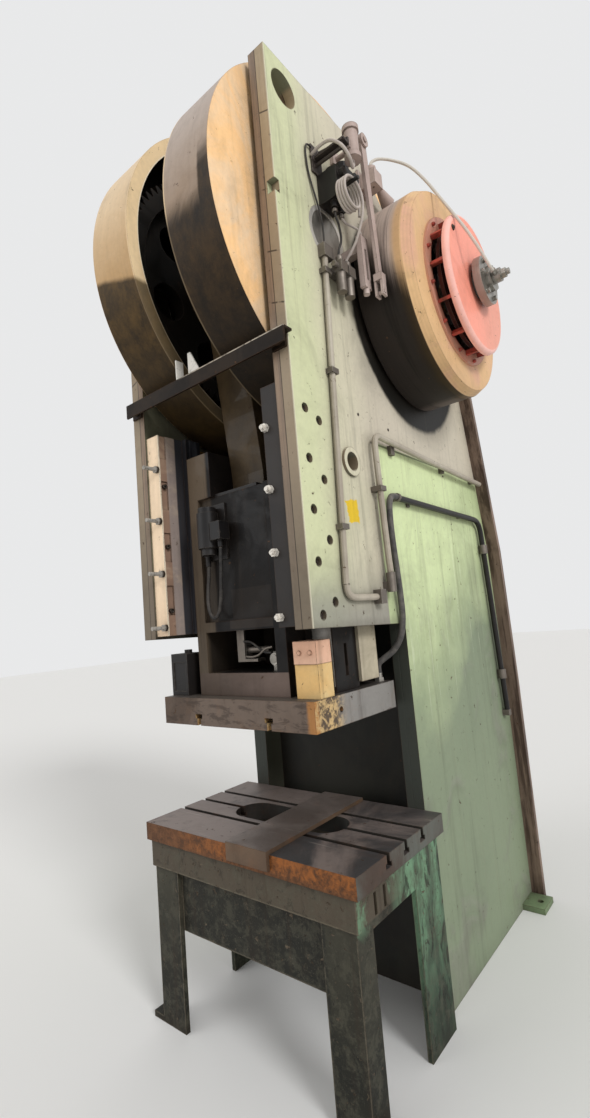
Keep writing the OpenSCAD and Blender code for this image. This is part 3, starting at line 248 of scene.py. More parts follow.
class Graph(Nodes):
    """The nodes of one material, with short names for what the finishes use."""

    def __init__(self, name: str) -> None:
        """Makes an empty material.

        Args:
            name: The material's name.
        """
        self.material = bpy.data.materials.new(name)
        super().__init__(self.material)
        self.place = self.node("ShaderNodeTexCoord", output="Object")
        self.x, self.y, self.z = (
            self.node("ShaderNodeSeparateXYZ", values={0: self.place}, output=axis)
            for axis in "XYZ")
        self.depth = self.y - DATUM.front
        self.normal = self.node("ShaderNodeNewGeometry", output="Normal")

    def noise(self, scale: Union[float, Triple], detail: float = 4, rough: float = 0.55,
              twist: float = 0) -> Socket:
        """Adds a noise pattern.

        Args:
            scale: Features per metre, about, or those along each axis for streaks.
            detail: Octaves.
            rough: Weight of the fine octaves.
            twist: Distortion.

        Returns:
            A value from 0 to 1.
        """
        vector = self.place
        if isinstance(scale, tuple):
            vector = self.node("ShaderNodeMapping", values={"Vector": vector, "Scale": scale})
            scale = 1.0
        return self.node("ShaderNodeTexNoise", values={
            "Vector": vector, "Scale": scale, "Detail": detail,
            "Roughness": rough, "Distortion": twist})

    def cells(self, scale: float) -> Socket:
        """Adds a cell pattern and gives the distance from the nearest centre."""
        return self.node("ShaderNodeTexVoronoi", {"feature": "F1"},
                         {"Vector": self.place, "Scale": scale, "Randomness": 1}, "Distance")

    def span(self, value: Value, low: float, high: float, start: int, end: int) -> Socket:
        """Goes smoothly from `start` at `low` to `end` at `high`."""
        return self.node("ShaderNodeMapRange", {"interpolation_type": "SMOOTHSTEP"}, {
            "Value": value, "From Min": low, "From Max": high, "To Min": start, "To Max": end})

    def rise(self, value: Value, low: float, high: float) -> Socket:
        """Goes smoothly from 0 at `low` to 1 at `high`."""
        return self.span(value, low, high, 0, 1)

    def fall(self, value: Value, low: float, high: float) -> Socket:
        """Goes smoothly from 1 at `low` to 0 at `high`."""
        return self.span(value, low, high, 1, 0)

    def band(self, value: Value, low: float, high: float, soft: float) -> Socket:
        """Gives 1 between `low` and `high`, and fades over `soft` outside."""
        return self.rise(value, low - soft, low) * self.fall(value, high, high + soft)

    def blend(self, share: Value, under: Colour, over: Colour) -> Socket:
        """Lays one colour over another by a mask."""
        return self.node(
            "ShaderNodeMix", {"data_type": "RGBA"}, {0: share, 6: under, 7: over}, 2)

    def lay(self, base: Colour, *layers: tuple[Value, Colour]) -> Colour:
        """Lays colours over a base, one after another.

        Args:
            base: The lowest colour.
            layers: Each layer's mask and colour, from the lowest up.

        Returns:
            The resulting colour.
        """
        for share, over in layers:
            base = self.blend(share, base, over)
        return base

    def ramp(self, value: Value, low: float, high: float, first: Colour, last: Colour) -> Socket:
        """Goes smoothly from one colour at `low` to another at `high`."""
        return self.blend(self.rise(value, low, high), first, last)

    def shade(self, colour: Colour, factor: Socket) -> Socket:
        """Multiplies a colour by a grey factor.

        Args:
            colour: The colour to darken or lighten.
            factor: The grey factor, 1 for no change.

        Returns:
            The product.
        """
        grey = self.node("ShaderNodeCombineXYZ", values={0: factor, 1: factor, 2: factor})
        return self.node("ShaderNodeMix", {"data_type": "RGBA", "blend_type": "MULTIPLY"},
                         {0: 1.0, 6: colour, 7: grey}, 2)

    def cosine(self, one: Colour, other: Colour) -> Socket:
        """Gives the cosine between two directions."""
        return self.node("ShaderNodeVectorMath", {"operation": "DOT_PRODUCT"},
                         {0: one, 1: other}, "Value")

    def facing(self, way: Way) -> Socket:
        """Gives 1 where the surface faces a direction, by its true normal."""
        return self.rise(self.cosine(self.normal, way.value), 0.55, 0.8)

    def worn_edge(self, radius: float) -> Socket:
        """Gives 1 near the sharp edges of a piece."""
        soft = self.node("ShaderNodeBevel", {"samples": 4}, {"Radius": radius})
        return self.fall(self.cosine(soft, self.normal), 0.80, 0.985)

    def crevice(self, reach: float) -> Socket:
        """Gives 1 in corners and under what lies close.

        Args:
            reach: Greatest distance of a neighbour that counts, in metres.

        Returns:
            A value from 0 in the open to 1.
        """
        open_share = self.node("ShaderNodeAmbientOcclusion", {"samples": 3},
                               {"Distance": reach}, "AO")
        return self.fall(open_share, 0.25, 0.85)

    def around(self, y: float, z: float) -> Socket:
        """Gives the distance from a line along X through a point of the drawing.

        Args:
            y: The point's distance behind the side plates' front.
            z: The point's height above the floor.

        Returns:
            The distance in metres.
        """
        across = self.depth - y
        above = self.z - z
        return (across * across + above * above) ** 0.5

    def finish(
        self,
        colour: Colour,
        rough: Value,
        metal: Value,
        height: Socket,
        depth: float,
        round_edge: float,
        film: Value = 0.0,
        shine: float = 0.28,
    ) -> bpy.types.Material:
        """Adds the shader and returns the material.

        Args:
            colour: Base colour.
            rough: Roughness.
            metal: Metallic share.
            height: Relief from 0 to 1.
            depth: Height of the relief in metres.
            round_edge: Radius that edges are shaded with.
            film: Weight of a clear oil film.
            shine: Specular level.

        Returns:
            The finished material.
        """
        rounded = self.node("ShaderNodeBevel", {"samples": 3}, {"Radius": round_edge})
        normal = self.node("ShaderNodeBump", values={
            "Strength": 1.0, "Distance": depth, "Height": height, "Normal": rounded})
        self.end("ShaderNodeOutputMaterial", self.node("ShaderNodeBsdfPrincipled", values={
            "Base Color": colour, "Roughness": rough, "Metallic": metal,
            "Coat Weight": film, "Specular IOR Level": shine, "Normal": normal}))
        return self.material


@dataclass(frozen=True)
class WornPaint:
    """Old enamel on steel: patches, streaks, grime, worn edges and chips."""

    name: str
    coat: Triple
    tint: Triple
    grime: Triple = srgb(52, 42, 33)
    bare: Triple = srgb(92, 66, 48)
    patch: float = 1.6
    streak: float = 0.45
    dirt: float = 0.5
    chips: float = 0.35
    edge: float = 0.8
    edge_width: float = 0.006
    gloss: float = 0.45
    crevice_reach: float = 0.12
    relief: float = 0.0007
    round_edge: float = 0.003
    film: float = 0.0
    shine: float = 0.28

    def colour(self, g: Graph) -> Colour:
        """Gives the paint's own colour, before any wear."""
        return g.ramp(g.noise(self.patch, 5, 0.6, 0.6), 0.38, 0.62, self.coat, self.tint)

    def wear(self, g: Graph, base: Colour) -> tuple[Socket, Socket, Socket]:
        """Lays the wear over a base colour.

        Args:
            g: The graph to add to.
            base: The paint's own colour.

        Returns:
            The colour, the roughness and the relief.
        """
        fine = g.noise(46, 6, 0.7)
        streaks = g.noise((17, 17, 0.9), 7, 0.66, 0.2)
        cloud = g.noise(3.3, 7, 0.62, 0.9)
        corners = g.crevice(self.crevice_reach)
        dirty = ((g.rise(cloud, 0.48, 0.72) * 0.55 + corners * 0.9) * self.dirt).least(0.92)
        nicks = g.noise(31, 8, 0.72, 0.4)
        chip = g.rise(nicks, 0.665 - 0.06 * self.chips, 0.68 - 0.06 * self.chips)
        rim = g.worn_edge(self.edge_width) * g.rise(nicks + fine * 0.35, 0.50, 0.66)
        lost = (chip + rim * self.edge).least(1.0)
        colour = g.lay(g.shade(base, 0.86 + fine * 0.26),
                       (g.rise(streaks, 0.52, 0.74) * self.streak * 0.75, self.grime),
                       (dirty, self.grime),
                       (lost, g.ramp(fine, 0.35, 0.65, self.bare, self.grime)))
        rough = self.gloss + dirty * 0.25 + lost * 0.3 + fine * 0.12
        relief = (1.0 - lost) * 0.7 + fine * 0.12 + g.noise(150, 3) * 0.1
        return colour, rough.least(0.95), relief

    def build(self) -> bpy.types.Material:
        """Makes the material.

        Returns:
            The finished material.
        """
        g = Graph(self.name)
        colour, rough, relief = self.wear(g, self.colour(g))
        return g.finish(colour, rough, 0.0, relief, self.relief, self.round_edge, self.film,
                        self.shine)


@dataclass(frozen=True)
class PlatePaint(WornPaint):
    """The side plates: cream-grey head, green column, brown front edges, painted flywheel shadow
    mixed with oil.
    """

    edge_inner: Triple = srgb(150, 128, 108)
    edge_streak: Triple = srgb(122, 106, 92)
    edge_outer: Triple = srgb(176, 158, 130)
    edge_middle: Triple = srgb(152, 136, 114)
    edge_low: Triple = srgb(108, 98, 84)
    weld: Triple = srgb(42, 34, 28)
    # Pale colour of the painted highlight on the outer front corner.
    corner: Triple = srgb(226, 220, 196)
    column: Triple = srgb(188, 202, 152)
    column_light: Triple = srgb(212, 226, 174)
    # Dark green of the lower column: dirt and painted shade.
    column_low: Triple = srgb(114, 126, 106)
    yellow_green: Triple = srgb(206, 213, 168)
    lower_grey: Triple = srgb(138, 136, 128)
    rosy: Triple = srgb(200, 188, 176)
    drip: Triple = srgb(120, 106, 88)
    dark_foot: Triple = srgb(96, 90, 80)
    throat: Triple = srgb(58, 62, 56)
    # Painted shade on the plates' inner faces.
    inner_face_shade: Triple = srgb(56, 52, 44)
    scratch: Triple = srgb(230, 236, 212)
    # Near black of soot, also used for painted shade and for the painted flywheel shadow.
    soot_and_shade: Triple = srgb(5, 5, 4)
    mark: Triple = srgb(226, 190, 40)
    relief: float = 0.00098
    round_edge: float = 0.004
    groove_x: float = 0.4485
    tick_heights: tuple[float, ...] = (3.747, 3.412, 3.148, 2.934)
    # Centre and radius of the painted shadow of the flywheel on the plate.
    shadow_centre: tuple[float, float] = (1.04, 3.19)
    shadow_r: float = 0.575
    smear_centre: tuple[float, float] = (0.62, 2.86)
    smear_fade: tuple[float, float] = (0.10, 0.34)
    column_y: float = 0.545
    column_top: float = 2.478
    throat_y: float = 0.679
    throat_top: float = 1.66
    foot_z: float = 1.695
    mark_y: tuple[float, float] = (0.338, 0.416)
    mark_z: tuple[float, float] = (2.130, 2.214)

    def head(self, g: Graph, wobble: Socket) -> Colour:
        """Colours the part above the column: greener in front, rosy behind, grey below.

        Args:
            g: The graph to add to.
            wobble: Slow noise that lets a border wander.

        Returns:
            The head's colour.
        """
        patches = g.rise(g.noise(self.patch, 5, 0.6, 0.6), 0.36, 0.64)
        return g.lay(g.blend(patches, self.coat, self.tint),
                     (g.fall(g.depth + wobble * 0.16, 0.16, 0.42) * 0.75, self.yellow_green),
                     (g.rise(g.depth + wobble * 0.2, 0.42, 0.75) * 0.55, self.rosy),
                     (g.fall(g.z + wobble * 0.25, 1.80, 2.12) * 0.85, self.lower_grey))

    def post(self, g: Graph, wobble: Socket) -> Colour:
        """Colours the green column, darker low down from dirt and painted shade, and scraped at
        hand height.

        Args:
            g: The graph to add to.
            wobble: Slow noise that lets a border wander.

        Returns:
            The column's colour.
        """
        # Dirt and painted shade darken the column low down and towards the rear.
        dirt_and_shade_low = (g.fall(g.z + wobble * 0.6, 1.3, 2.7)
                    + g.rise(g.depth + wobble * 0.2, 1.0, 1.8) * 0.4).least(1.0)
        blotch = g.rise(g.noise(3.2, 7, 0.7, 0.9), 0.50, 0.66)
        scrapes = g.rise(g.noise((90, 90, 1.6), 5, 0.7), 0.61, 0.68)
        return g.lay(g.ramp(g.noise(1.1, 5, 0.6), 0.35, 0.6, self.column, self.column_light),
                     (dirt_and_shade_low * dirt_and_shade_low * 0.9, self.column_low),
                     (blotch * g.fall(g.z, 1.2, 2.3) * 0.4, self.lower_grey),
                     (scrapes * 0.5 * g.band(g.z, 1.35, 2.15, 0.2), self.scratch))

    def side(self, g: Graph, wobble: Socket) -> Colour:
        """Colours the broad face, with the painted flywheel shadow and the yellow mark on the
        right plate.

        Args:
            g: The graph to add to.
            wobble: Slow noise that lets a border wander.

        Returns:
            The broad face's colour.
        """
        front, top = self.column_y, self.column_top
        in_column = g.rise(g.depth, front, front + 0.005) * g.fall(g.z, top, top + 0.004)
        low_column = g.rise(g.depth, self.throat_y, self.throat_y + 0.002) * g.fall(
            g.z, self.throat_top, self.throat_top + 0.01)
        seam = g.band(g.z, top - 0.008, top - 0.002, 0.004) * g.rise(
            g.depth, front - 0.015, front - 0.005)
        ragged = g.noise(9, 6, 0.7, 0.8)
        # Painted shadow: the stain is the flywheel's shadow on the plate, mixed with oil; the
        # smear is a fainter dark patch lower down.
        stain = g.fall(g.around(*self.shadow_centre) + wobble * 0.05 + ragged * 0.03,
                       self.shadow_r, self.shadow_r + 0.035)
        smear = g.fall(g.around(*self.smear_centre) + ragged * 0.22, *self.smear_fade) * 0.3
        oil = (stain * 0.985).most(smear) * g.rise(g.x, 0.0, 0.1)
        drips = g.rise(g.noise((30, 30, 0.7), 6, 0.68, 0.1), 0.56, 0.72)
        foot = g.fall(g.z + ragged * 0.05, self.foot_z, self.foot_z + 0.04) * g.fall(
            g.depth, self.throat_y - 0.019, self.throat_y + 0.001)
        torn = ragged * 0.09 + (g.z - 2.14) * 0.25
        patch = g.band(g.depth + torn, *self.mark_y, 0.004) * g.band(
            g.z + ragged * 0.07, *self.mark_z, 0.004)
        scuffed = 1.0 - g.rise(ragged, 0.60, 0.66) * 0.7
        return g.lay(self.head(g, wobble),
                     (in_column.most(low_column), self.post(g, wobble)),
                     (oil.most(seam * 0.7), self.soot_and_shade),
                     (drips * 0.30, self.drip),
                     (foot * 0.35, self.dark_foot),
                     (patch * scuffed * g.rise(g.x, 0.49, 0.495), self.mark))

    def edges(self, g: Graph, wobble: Socket) -> tuple[Socket, Socket]:
        """Colours the front edge, with its weld groove, and gives the groove's mask.

        Args:
            g: The graph to add to.
            wobble: Slow noise that lets a border wander.

        Returns:
            The front edge's colour and the mask of its groove and ticks.
        """
        wide = abs(g.x)
        inner = g.ramp(g.noise((60, 60, 1.2), 6, 0.68, 0.1), 0.4, 0.65, self.edge_inner,
                       self.edge_streak)
        outer = g.blend(g.fall(g.z + wobble * 0.3, 3.1, 3.75), self.edge_outer,
                        self.edge_middle)
        weld = g.band(wide, self.groove_x - 0.0015, self.groove_x + 0.0015, 0.001)
        slope = g.z + (wide - 0.45) * 0.35
        ticks = 0.0
        for height in self.tick_heights:
            ticks = g.band(slope, height - 0.002, height + 0.002, 0.003).most(ticks)
        worn_away = g.rise(g.noise(26, 5, 0.7), 0.40, 0.52)
        lines = weld.most(ticks * g.rise(wide, 0.425, 0.440) * worn_away) * 0.8
        face = g.lay(g.ramp(wide, self.groove_x - 0.001, self.groove_x + 0.001, inner, outer),
                     (g.fall(g.z + wobble * 0.3, 1.9, 2.7) * 0.85, self.edge_low),
                     (lines, self.weld),
                     (g.fall(g.z, self.throat_top, self.throat_top + 0.01), self.throat))
        return face, lines

    def build(self) -> bpy.types.Material:
        """Makes the material.

        Returns:
            The finished material.
        """
        g = Graph(self.name)
        wobble = g.noise(2.2, 4)
        edge = g.facing(Way.FRONT)
        face, lines = self.edges(g, wobble)
        # Painted shade: the inner faces, and the faces that look down, are darkened.
        shaded_inside = g.fall(abs(g.x), DATUM.plate_in + 0.0005, DATUM.plate_in + 0.0025)
        colour, rough, relief = self.wear(g, g.lay(
            self.side(g, wobble), (edge, face), (shaded_inside * 0.85, self.inner_face_shade),
            (g.facing(Way.DOWN) * 0.7, self.throat)))
        # Painted highlight: a pale line along the outer front corner.
        corner = g.band(g.depth, -0.001, 0.004, 0.003) * g.rise(
            g.x, DATUM.plate_out - 0.005, DATUM.plate_out - 0.0015)
        return g.finish(g.blend(corner * 0.55, colour, self.corner), rough, 0.0,
                        relief * (1.0 - lines * edge * 0.8), self.relief, self.round_edge)


@dataclass(frozen=True)
class BackPaint(WornPaint):
    """The bent plate along the rear: green enamel behind, brown and greasy elsewhere."""

    brown: Triple = srgb(132, 112, 98)
    brown_dark: Triple = srgb(72, 56, 48)

    def colour(self, g: Graph) -> Colour:
        """Gives the paint's own colour, before any wear.

        Args:
            g: The graph to add to.

        Returns:
            The paint's own colour.
        """
        streak = g.noise((20, 20, 1.6), 6, 0.7, 0.3)
        return g.lay(g.ramp(streak, 0.42, 0.60, self.brown, self.brown_dark),
                     (g.facing(Way.BACK) * 0.92, super().colour(g)))


@dataclass(frozen=True)
class GuardPaint(WornPaint):
    """The gear guards: tan enamel, darker lower down as painted shade, with painted shadow over
    brown oil grime on the front.
    """

    # Oily brown and near black for the painted shadow over oil on the lower guard.
    oily: Triple = srgb(66, 50, 33)
    shade: Triple = srgb(26, 20, 14)
    disc: Triple = srgb(252, 206, 150)
    disc_pale: Triple = srgb(240, 210, 174)
    disc_grain: Triple = srgb(186, 140, 100)
    pit: Triple = srgb(120, 84, 60)
    lip: Triple = srgb(244, 216, 172)
    bead: Triple = srgb(255, 240, 212)
    spacer: Triple = srgb(96, 84, 70)
    # Near black painted as shade inside the guard.
    hollow_shade: Triple = srgb(20, 17, 15)
    shade_top: float = 3.18
    slant: float = 0.0
    step: float = 0.0
    soft: float = 0.015
    ragged: float = 0.03
    round_edge: float = 0.002
    shine: float = 0.16

    def shaded_and_oiled(self, g: Graph, cloud: Socket) -> Socket:
        """Gives 1 below the ragged line where painted shadow over oil darkens the guard.

        Args:
            g: The graph to add to.
            cloud: Noise that makes a border ragged.

        Returns:
            The mask of the oily part.
        """
        # The step is a notch in the line of the painted shadow.
        height = g.z - g.x * self.slant - g.rise(g.x, 0.315, 0.338) * self.step
        height = height + (cloud - 0.5) * self.ragged
        return g.fall(height, self.shade_top - self.soft, self.shade_top + self.soft)

    def face(self, g: Graph, cloud: Socket) -> Colour:
        """Colours the round outer face, with its grain, its pits and its foot darkened by painted
        shade over oil.

        Args:
            g: The graph to add to.
            cloud: Noise that makes a border ragged.

        Returns:
            The round face's colour.
        """
        grain = g.noise((8, 16, 3.5), 7, 0.7, 0.5)
        clean = g.ramp(g.noise(3.5, 6, 0.62, 1.2), 0.38, 0.66, self.disc, self.disc_pale)
        pits = 1.0 - g.rise(g.cells(17), 0.015, 0.05)
        return g.lay(g.shade(clean, 0.9 + grain * 0.2),
                     (g.rise(grain, 0.60, 0.72) * 0.22, self.disc_grain),
                     (pits * 0.5, self.pit),
                     (g.fall(g.z + cloud * 0.15, 2.75, 3.0) * 0.5, self.oily))

    def colour(self, g: Graph) -> Colour:
        """Gives the paint's own colour, before any wear.

        Args:
            g: The graph to add to.

        Returns:
            The paint's own colour.
        """
        wide = abs(g.x)
        off = g.around(DATUM.guard_y, DATUM.guard_z)
        cloud = g.noise(4, 7, 0.66, 1.2)
        brushed = g.noise((38, 5, 5), 6, 0.7, 0.3)
        # Painted shade: the tan turns darker lower down.
        clean = g.blend(g.fall(g.z + cloud * 0.3, 3.30, 3.95), self.coat, self.tint)
        shade_and_oil = self.shaded_and_oiled(g, cloud)
        mottle = g.noise((13, 13, 7.8), 8, 0.78, 0.15)
        # Painted shadow over oil grime, darkest at the bottom.
        dirt = g.lay(g.ramp(mottle, 0.32, 0.68, self.oily, self.shade),
                     (g.fall(g.z + cloud * 0.2, 2.9, 3.2) * 0.6, self.shade))
        lip = g.shade(g.blend(shade_and_oil * 0.85, self.lip, dirt), 0.88 + cloud * 0.24)
        gap, outer = DATUM.guard_gap, DATUM.guard_outer
        rim = g.fall(wide, gap + 0.004, gap + 0.009)
        on_disc = g.rise(wide, outer - 0.0012, outer - 0.0004)
        within = g.fall(off, DATUM.guard_r - 0.0035, DATUM.guard_r - 0.0015)
        on_lip = g.fall(wide, gap + 0.0008, gap + 0.0016) * g.rise(
            off, DATUM.lip_r - 0.004, DATUM.lip_r)
        bead = g.band(off, DATUM.lip_r - 0.002, DATUM.lip_r + 0.003, 0.002) * g.fall(
            wide, gap + 0.0045, gap + 0.005)
        # The guard's inside is painted in shade.
        return g.lay(g.shade(clean, 0.84 + brushed * 0.3),
                     (shade_and_oil * 0.97, dirt),
                     (rim * (1.0 - shade_and_oil * 0.8) * 0.7, self.lip),
                     (on_disc, self.face(g, cloud)),
                     (within * (1.0 - on_disc), self.hollow_shade),
                     (on_lip, lip),
                     (bead * (1.0 - shade_and_oil * 0.7), self.bead),
                     (g.rise(wide, outer + 0.0006, outer + 0.001), self.spacer))


@dataclass(frozen=True)
class WheelPaint(WornPaint):
    """The flywheel: barrel with a painted grey-pink highlight above and oil with painted shade
    below, ochre rim with turning marks.
    """

    rim: Triple = srgb(230, 190, 142)
    rim_rosy: Triple = srgb(222, 174, 146)
    rim_low: Triple = srgb(172, 136, 100)
    scored: Triple = srgb(92, 66, 44)
    # Grey-pink of the painted highlight on the upper barrel.
    barrel: Triple = srgb(196, 176, 164)
    ochre: Triple = srgb(212, 172, 128)
    soot_and_shade: Triple = srgb(7, 6, 6)
    brown_soot_and_shade: Triple = srgb(38, 29, 16)
    # Painted shade inside the rim's inner radius.
    recess_shade: Triple = srgb(44, 33, 27)
    recess_r: float = 0.352
    rim_x: float = 0.752
    round_edge: float = 0.004
    shine: float = 0.16

    def around_rim(self, g: Graph, rings: Socket, wisp: Socket) -> Colour:
        """Colours the barrel: a streaked grey-pink painted highlight above, oil and painted shade
        near black below and in front.

        Args:
            g: The graph to add to.
            rings: Fine rings left by turning.
            wisp: Slow noise that lets a border wander.

        Returns:
            The barrel's colour.
        """
        # Oil and painted shade darken the barrel's lower and front part.
        drop = g.z + g.x * 1.3 + wisp * 0.10 + rings * 0.16
        dark = g.fall(drop, 4.13, 4.34).most(g.fall(g.z, 3.02, 3.20))
        dark = (dark * g.fall(g.depth, 1.0, 1.3)).most(g.fall(g.z, 2.86, 3.06) * 0.85)
        near_black = g.ramp(g.x + wisp * 0.03, 0.72, 0.76, self.soot_and_shade, self.brown_soot_and_shade)
        lick = g.rise(g.noise((34, 1.2, 1.2), 6, 0.65, 0.2), 0.52, 0.66)
        return g.lay(g.shade(self.barrel, 0.82 + rings * 0.36),
                     (g.rise(g.x + wisp * 0.04 + rings * 0.02, 0.715, 0.765), self.ochre),
                     (dark * 0.96, g.shade(near_black, 0.7 + rings * 0.6)),
                     (lick * g.fall(g.z, 3.3, 3.75) * 0.55, self.soot_and_shade))

    def rim_face(self, g: Graph, off: Socket, wisp: Socket) -> Colour:
        """Colours the rim's flat face, with its turning marks and scores.

        Args:
            g: The graph to add to.
            off: Distance from the drive shaft's line.
            wisp: Slow noise that lets a border wander.

        Returns:
            The rim's colour.
        """
        turned = (off * 900).math("SINE")
        clean = g.ramp(wisp, 0.42, 0.66, self.rim, self.rim_rosy)
        scores = g.rise(g.noise((3, 34, 5), 5, 0.7), 0.66, 0.72)
        return g.lay(g.shade(clean, 0.95 + turned * 0.03 + wisp * 0.06),
                     (g.rise(g.noise(7, 6, 0.66, 1.5), 0.56, 0.76) * 0.5, self.coat),
                     (g.fall(g.z + wisp * 0.3, 2.8, 3.2) * 0.4, self.rim_low),
                     (scores * 0.5, self.scored))

    def build(self) -> bpy.types.Material:
        """Makes the material.

        Returns:
            The finished material.
        """
        g = Graph(self.name)
        off = g.around(DATUM.drive_y, DATUM.drive_z)
        rings = g.noise((95, 0.6, 0.6), 4, 0.6)
        wisp = g.noise(2.6, 6, 0.6, 1.2)
        on_face = g.facing(Way.RIGHT).most(g.rise(g.x, self.rim_x, self.rim_x + 0.004))
        # The face that looks left, towards the plate, is painted near black as shade.
        colour, rough, relief = self.wear(g, g.lay(
            self.around_rim(g, rings, wisp),
            (g.rise(off, self.recess_r, self.recess_r + 0.004) * on_face,
             self.rim_face(g, off, wisp)),
            (g.fall(off, self.recess_r, self.recess_r + 0.0055) * 0.94, self.recess_shade),
            (g.facing(Way.LEFT) * 0.9, self.soot_and_shade)))
        return g.finish(colour, rough, 0.0, relief + rings * 0.1, self.relief,
                        self.round_edge, shine=self.shine)


@dataclass(frozen=True)
class ClutchPaint(WornPaint):
    """The clutch housing: salmon enamel, pale on the cover, dark red between the ribs."""

    face: Triple = srgb(250, 158, 136)
    dusty: Triple = srgb(226, 160, 138)
    deep: Triple = srgb(186, 74, 60)
    sooty: Triple = srgb(112, 50, 38)
    # Pale pink of the painted highlight on the cover's rounded edge.
    rolled_edge_highlight: Triple = srgb(252, 206, 196)
    dusty_ring: Triple = srgb(222, 168, 142)
    spot: Triple = srgb(70, 40, 34)
    round_edge: float = 0.004
    film: float = 0.15

    def colour(self, g: Graph) -> Colour:
        """Gives the paint's own colour, before any wear.

        Args:
            g: The graph to add to.

        Returns:
            The paint's own colour.
        """
        off = g.around(DATUM.drive_y, DATUM.drive_z)
        cloud = g.noise(4.2, 6, 0.6, 1)
        outside = g.rise(g.x, DATUM.clutch_end - 0.034, DATUM.clutch_end - 0.028)
        dusty = g.rise(g.y + cloud * 0.2 - g.z * 0.3, -0.85, -0.55) * 0.6
        # The pale band round the cover is a painted highlight.
        cover = g.lay(self.face, (dusty, self.dusty),
                      (g.rise(cloud, 0.52, 0.8) * 0.3, self.coat),
                      (g.band(off, 0.317, 0.330, 0.007) * outside * 0.65, self.rolled_edge_highlight))
        ring = g.fall(g.x, DATUM.clutch_ring - 0.0005, DATUM.clutch_ring + 0.0015)
        spots = 1.0 - g.rise(g.cells(26), 0.02, 0.045)
        return g.lay(g.ramp(g.noise(11, 6, 0.7, 1), 0.42, 0.62, self.deep, self.sooty),
                     (outside, cover),
                     (ring * g.rise(off, 0.300, 0.306) * 0.85, self.dusty_ring),
                     (spots * outside * 0.8, self.spot))


@dataclass(frozen=True)
class RustySteel(WornPaint):
    """Machined plate gone brown, with orange rust on its edges and pale scuffs on top."""

    top: Triple = srgb(132, 120, 114)
    top_dark: Triple = srgb(70, 68, 68)
    scuff: Triple = srgb(176, 166, 158)
    rust: Triple = srgb(150, 92, 48)
    rust_dark: Triple = srgb(92, 54, 32)
    rust_share: float = 0.6
    metal: float = 0.25
    relief: float = 0.00112
    round_edge: float = 0.004

    def sides(self, g: Graph, cloud: Socket) -> Colour:
        """Colours the upright faces."""
        return g.ramp(cloud, 0.35, 0.65, self.coat, self.tint)

    def build(self) -> bpy.types.Material:
        """Makes the material.

        Returns:
            The finished material.
        """
        g = Graph(self.name)
        cloud = g.noise(2.0, 7, 0.62, 1.0)
        # Painted light: the top grows lighter towards the left, over its own mottling.
        flat = g.lay(g.ramp(cloud + g.x * 0.22, 0.42, 0.66, self.top, self.top_dark),
                     (g.rise(g.noise((3, 60, 10), 6, 0.7), 0.6, 0.72) * 0.45, self.scuff))
        bloom = g.rise(g.noise(9, 8, 0.7, 0.8), 0.50, 0.64)
        orange = (bloom * (0.25 + g.worn_edge(0.02))).least(1.0) * self.rust_share
        colour, rough, relief = self.wear(g, g.lay(
            self.sides(g, cloud), (g.facing(Way.UP), flat),
            (orange, g.blend(g.noise(60, 4), self.rust, self.rust_dark))))
        return g.finish(colour, rough, (1.0 - orange) * self.metal, relief - bloom * 0.15,
                        self.relief, self.round_edge)


@dataclass(frozen=True)
class SlabSteel(RustySteel):
    """The table slab: bright orange rust along its front, grey-green at its ends."""

    flare: Triple = srgb(150, 90, 42)
    crust: Triple = srgb(80, 52, 32)
    end: Triple = srgb(92, 94, 88)
    slot: Triple = srgb(30, 28, 26)

    def sides(self, g: Graph, cloud: Socket) -> Colour:
        """Colours the upright faces.

        Args:
            g: The graph to add to.
            cloud: Noise that makes a border ragged.

        Returns:
            The upright faces' colour.
        """
        front = g.facing(Way.FRONT) * g.fall(
            g.depth, DATUM.slab_front + 0.003, DATUM.slab_front + 0.006)
        scale = g.noise(34, 8, 0.74, 0.5)
        left = g.fall(g.x + cloud * 0.25, -0.45, 0.15) * 0.75
        low = g.fall(g.z + scale * 0.05, 0.805, 0.83) * 0.6
        blaze = g.lay(g.ramp(scale, 0.34, 0.64, self.crust, self.flare),
                      (left.most(low), g.ramp(scale, 0.42, 0.62, self.crust, self.coat)))
        slots = g.fall(abs(g.x), DATUM.slab_half - 0.004, DATUM.slab_half - 0.002)
        return g.lay(g.ramp(cloud, 0.4, 0.62, self.end, self.tint), (slots * 0.85, self.slot),
                     (front, blaze))


@dataclass(frozen=True)
class FlangeSteel(RustySteel):
    """The slide's flange: brown front, chipped ochre primer by the right front corner."""

    side: Triple = srgb(140, 137, 133)
    primer: Triple = srgb(206, 176, 126)
    ochre: Triple = srgb(176, 122, 66)
    scab: Triple = srgb(52, 42, 36)
    chip: Triple = srgb(92, 78, 64)

    def sides(self, g: Graph, cloud: Socket) -> Colour:
        """Colours the upright faces.

        Args:
            g: The graph to add to.
            cloud: Noise that makes a border ragged.

        Returns:
            The upright faces' colour.
        """
        flakes = g.noise(30, 9, 0.78, 0.5)
        scabs = g.rise(g.noise((9, 9, 26), 7, 0.72, 0.6), 0.50, 0.60)
        brown = g.lay(g.ramp(cloud, 0.38, 0.62, self.coat, self.tint),
                      (scabs * 0.55, self.scab),
                      (g.rise(g.x + flakes * 0.03, 0.405, 0.425) * 0.8, self.ochre))
        chipped = g.lay(g.ramp(flakes, 0.46, 0.54, self.chip, self.primer),
                        (g.fall(g.depth + flakes * 0.03, 0.075, 0.10),
                         g.ramp(flakes, 0.40, 0.6, self.ochre, self.primer)))
        near = g.fall(g.depth + cloud * 0.08, 0.20, 0.30)
        return g.lay(self.tint, (g.facing(Way.FRONT), brown),
                     (g.facing(Way.RIGHT), g.blend(near, self.side, chipped)))


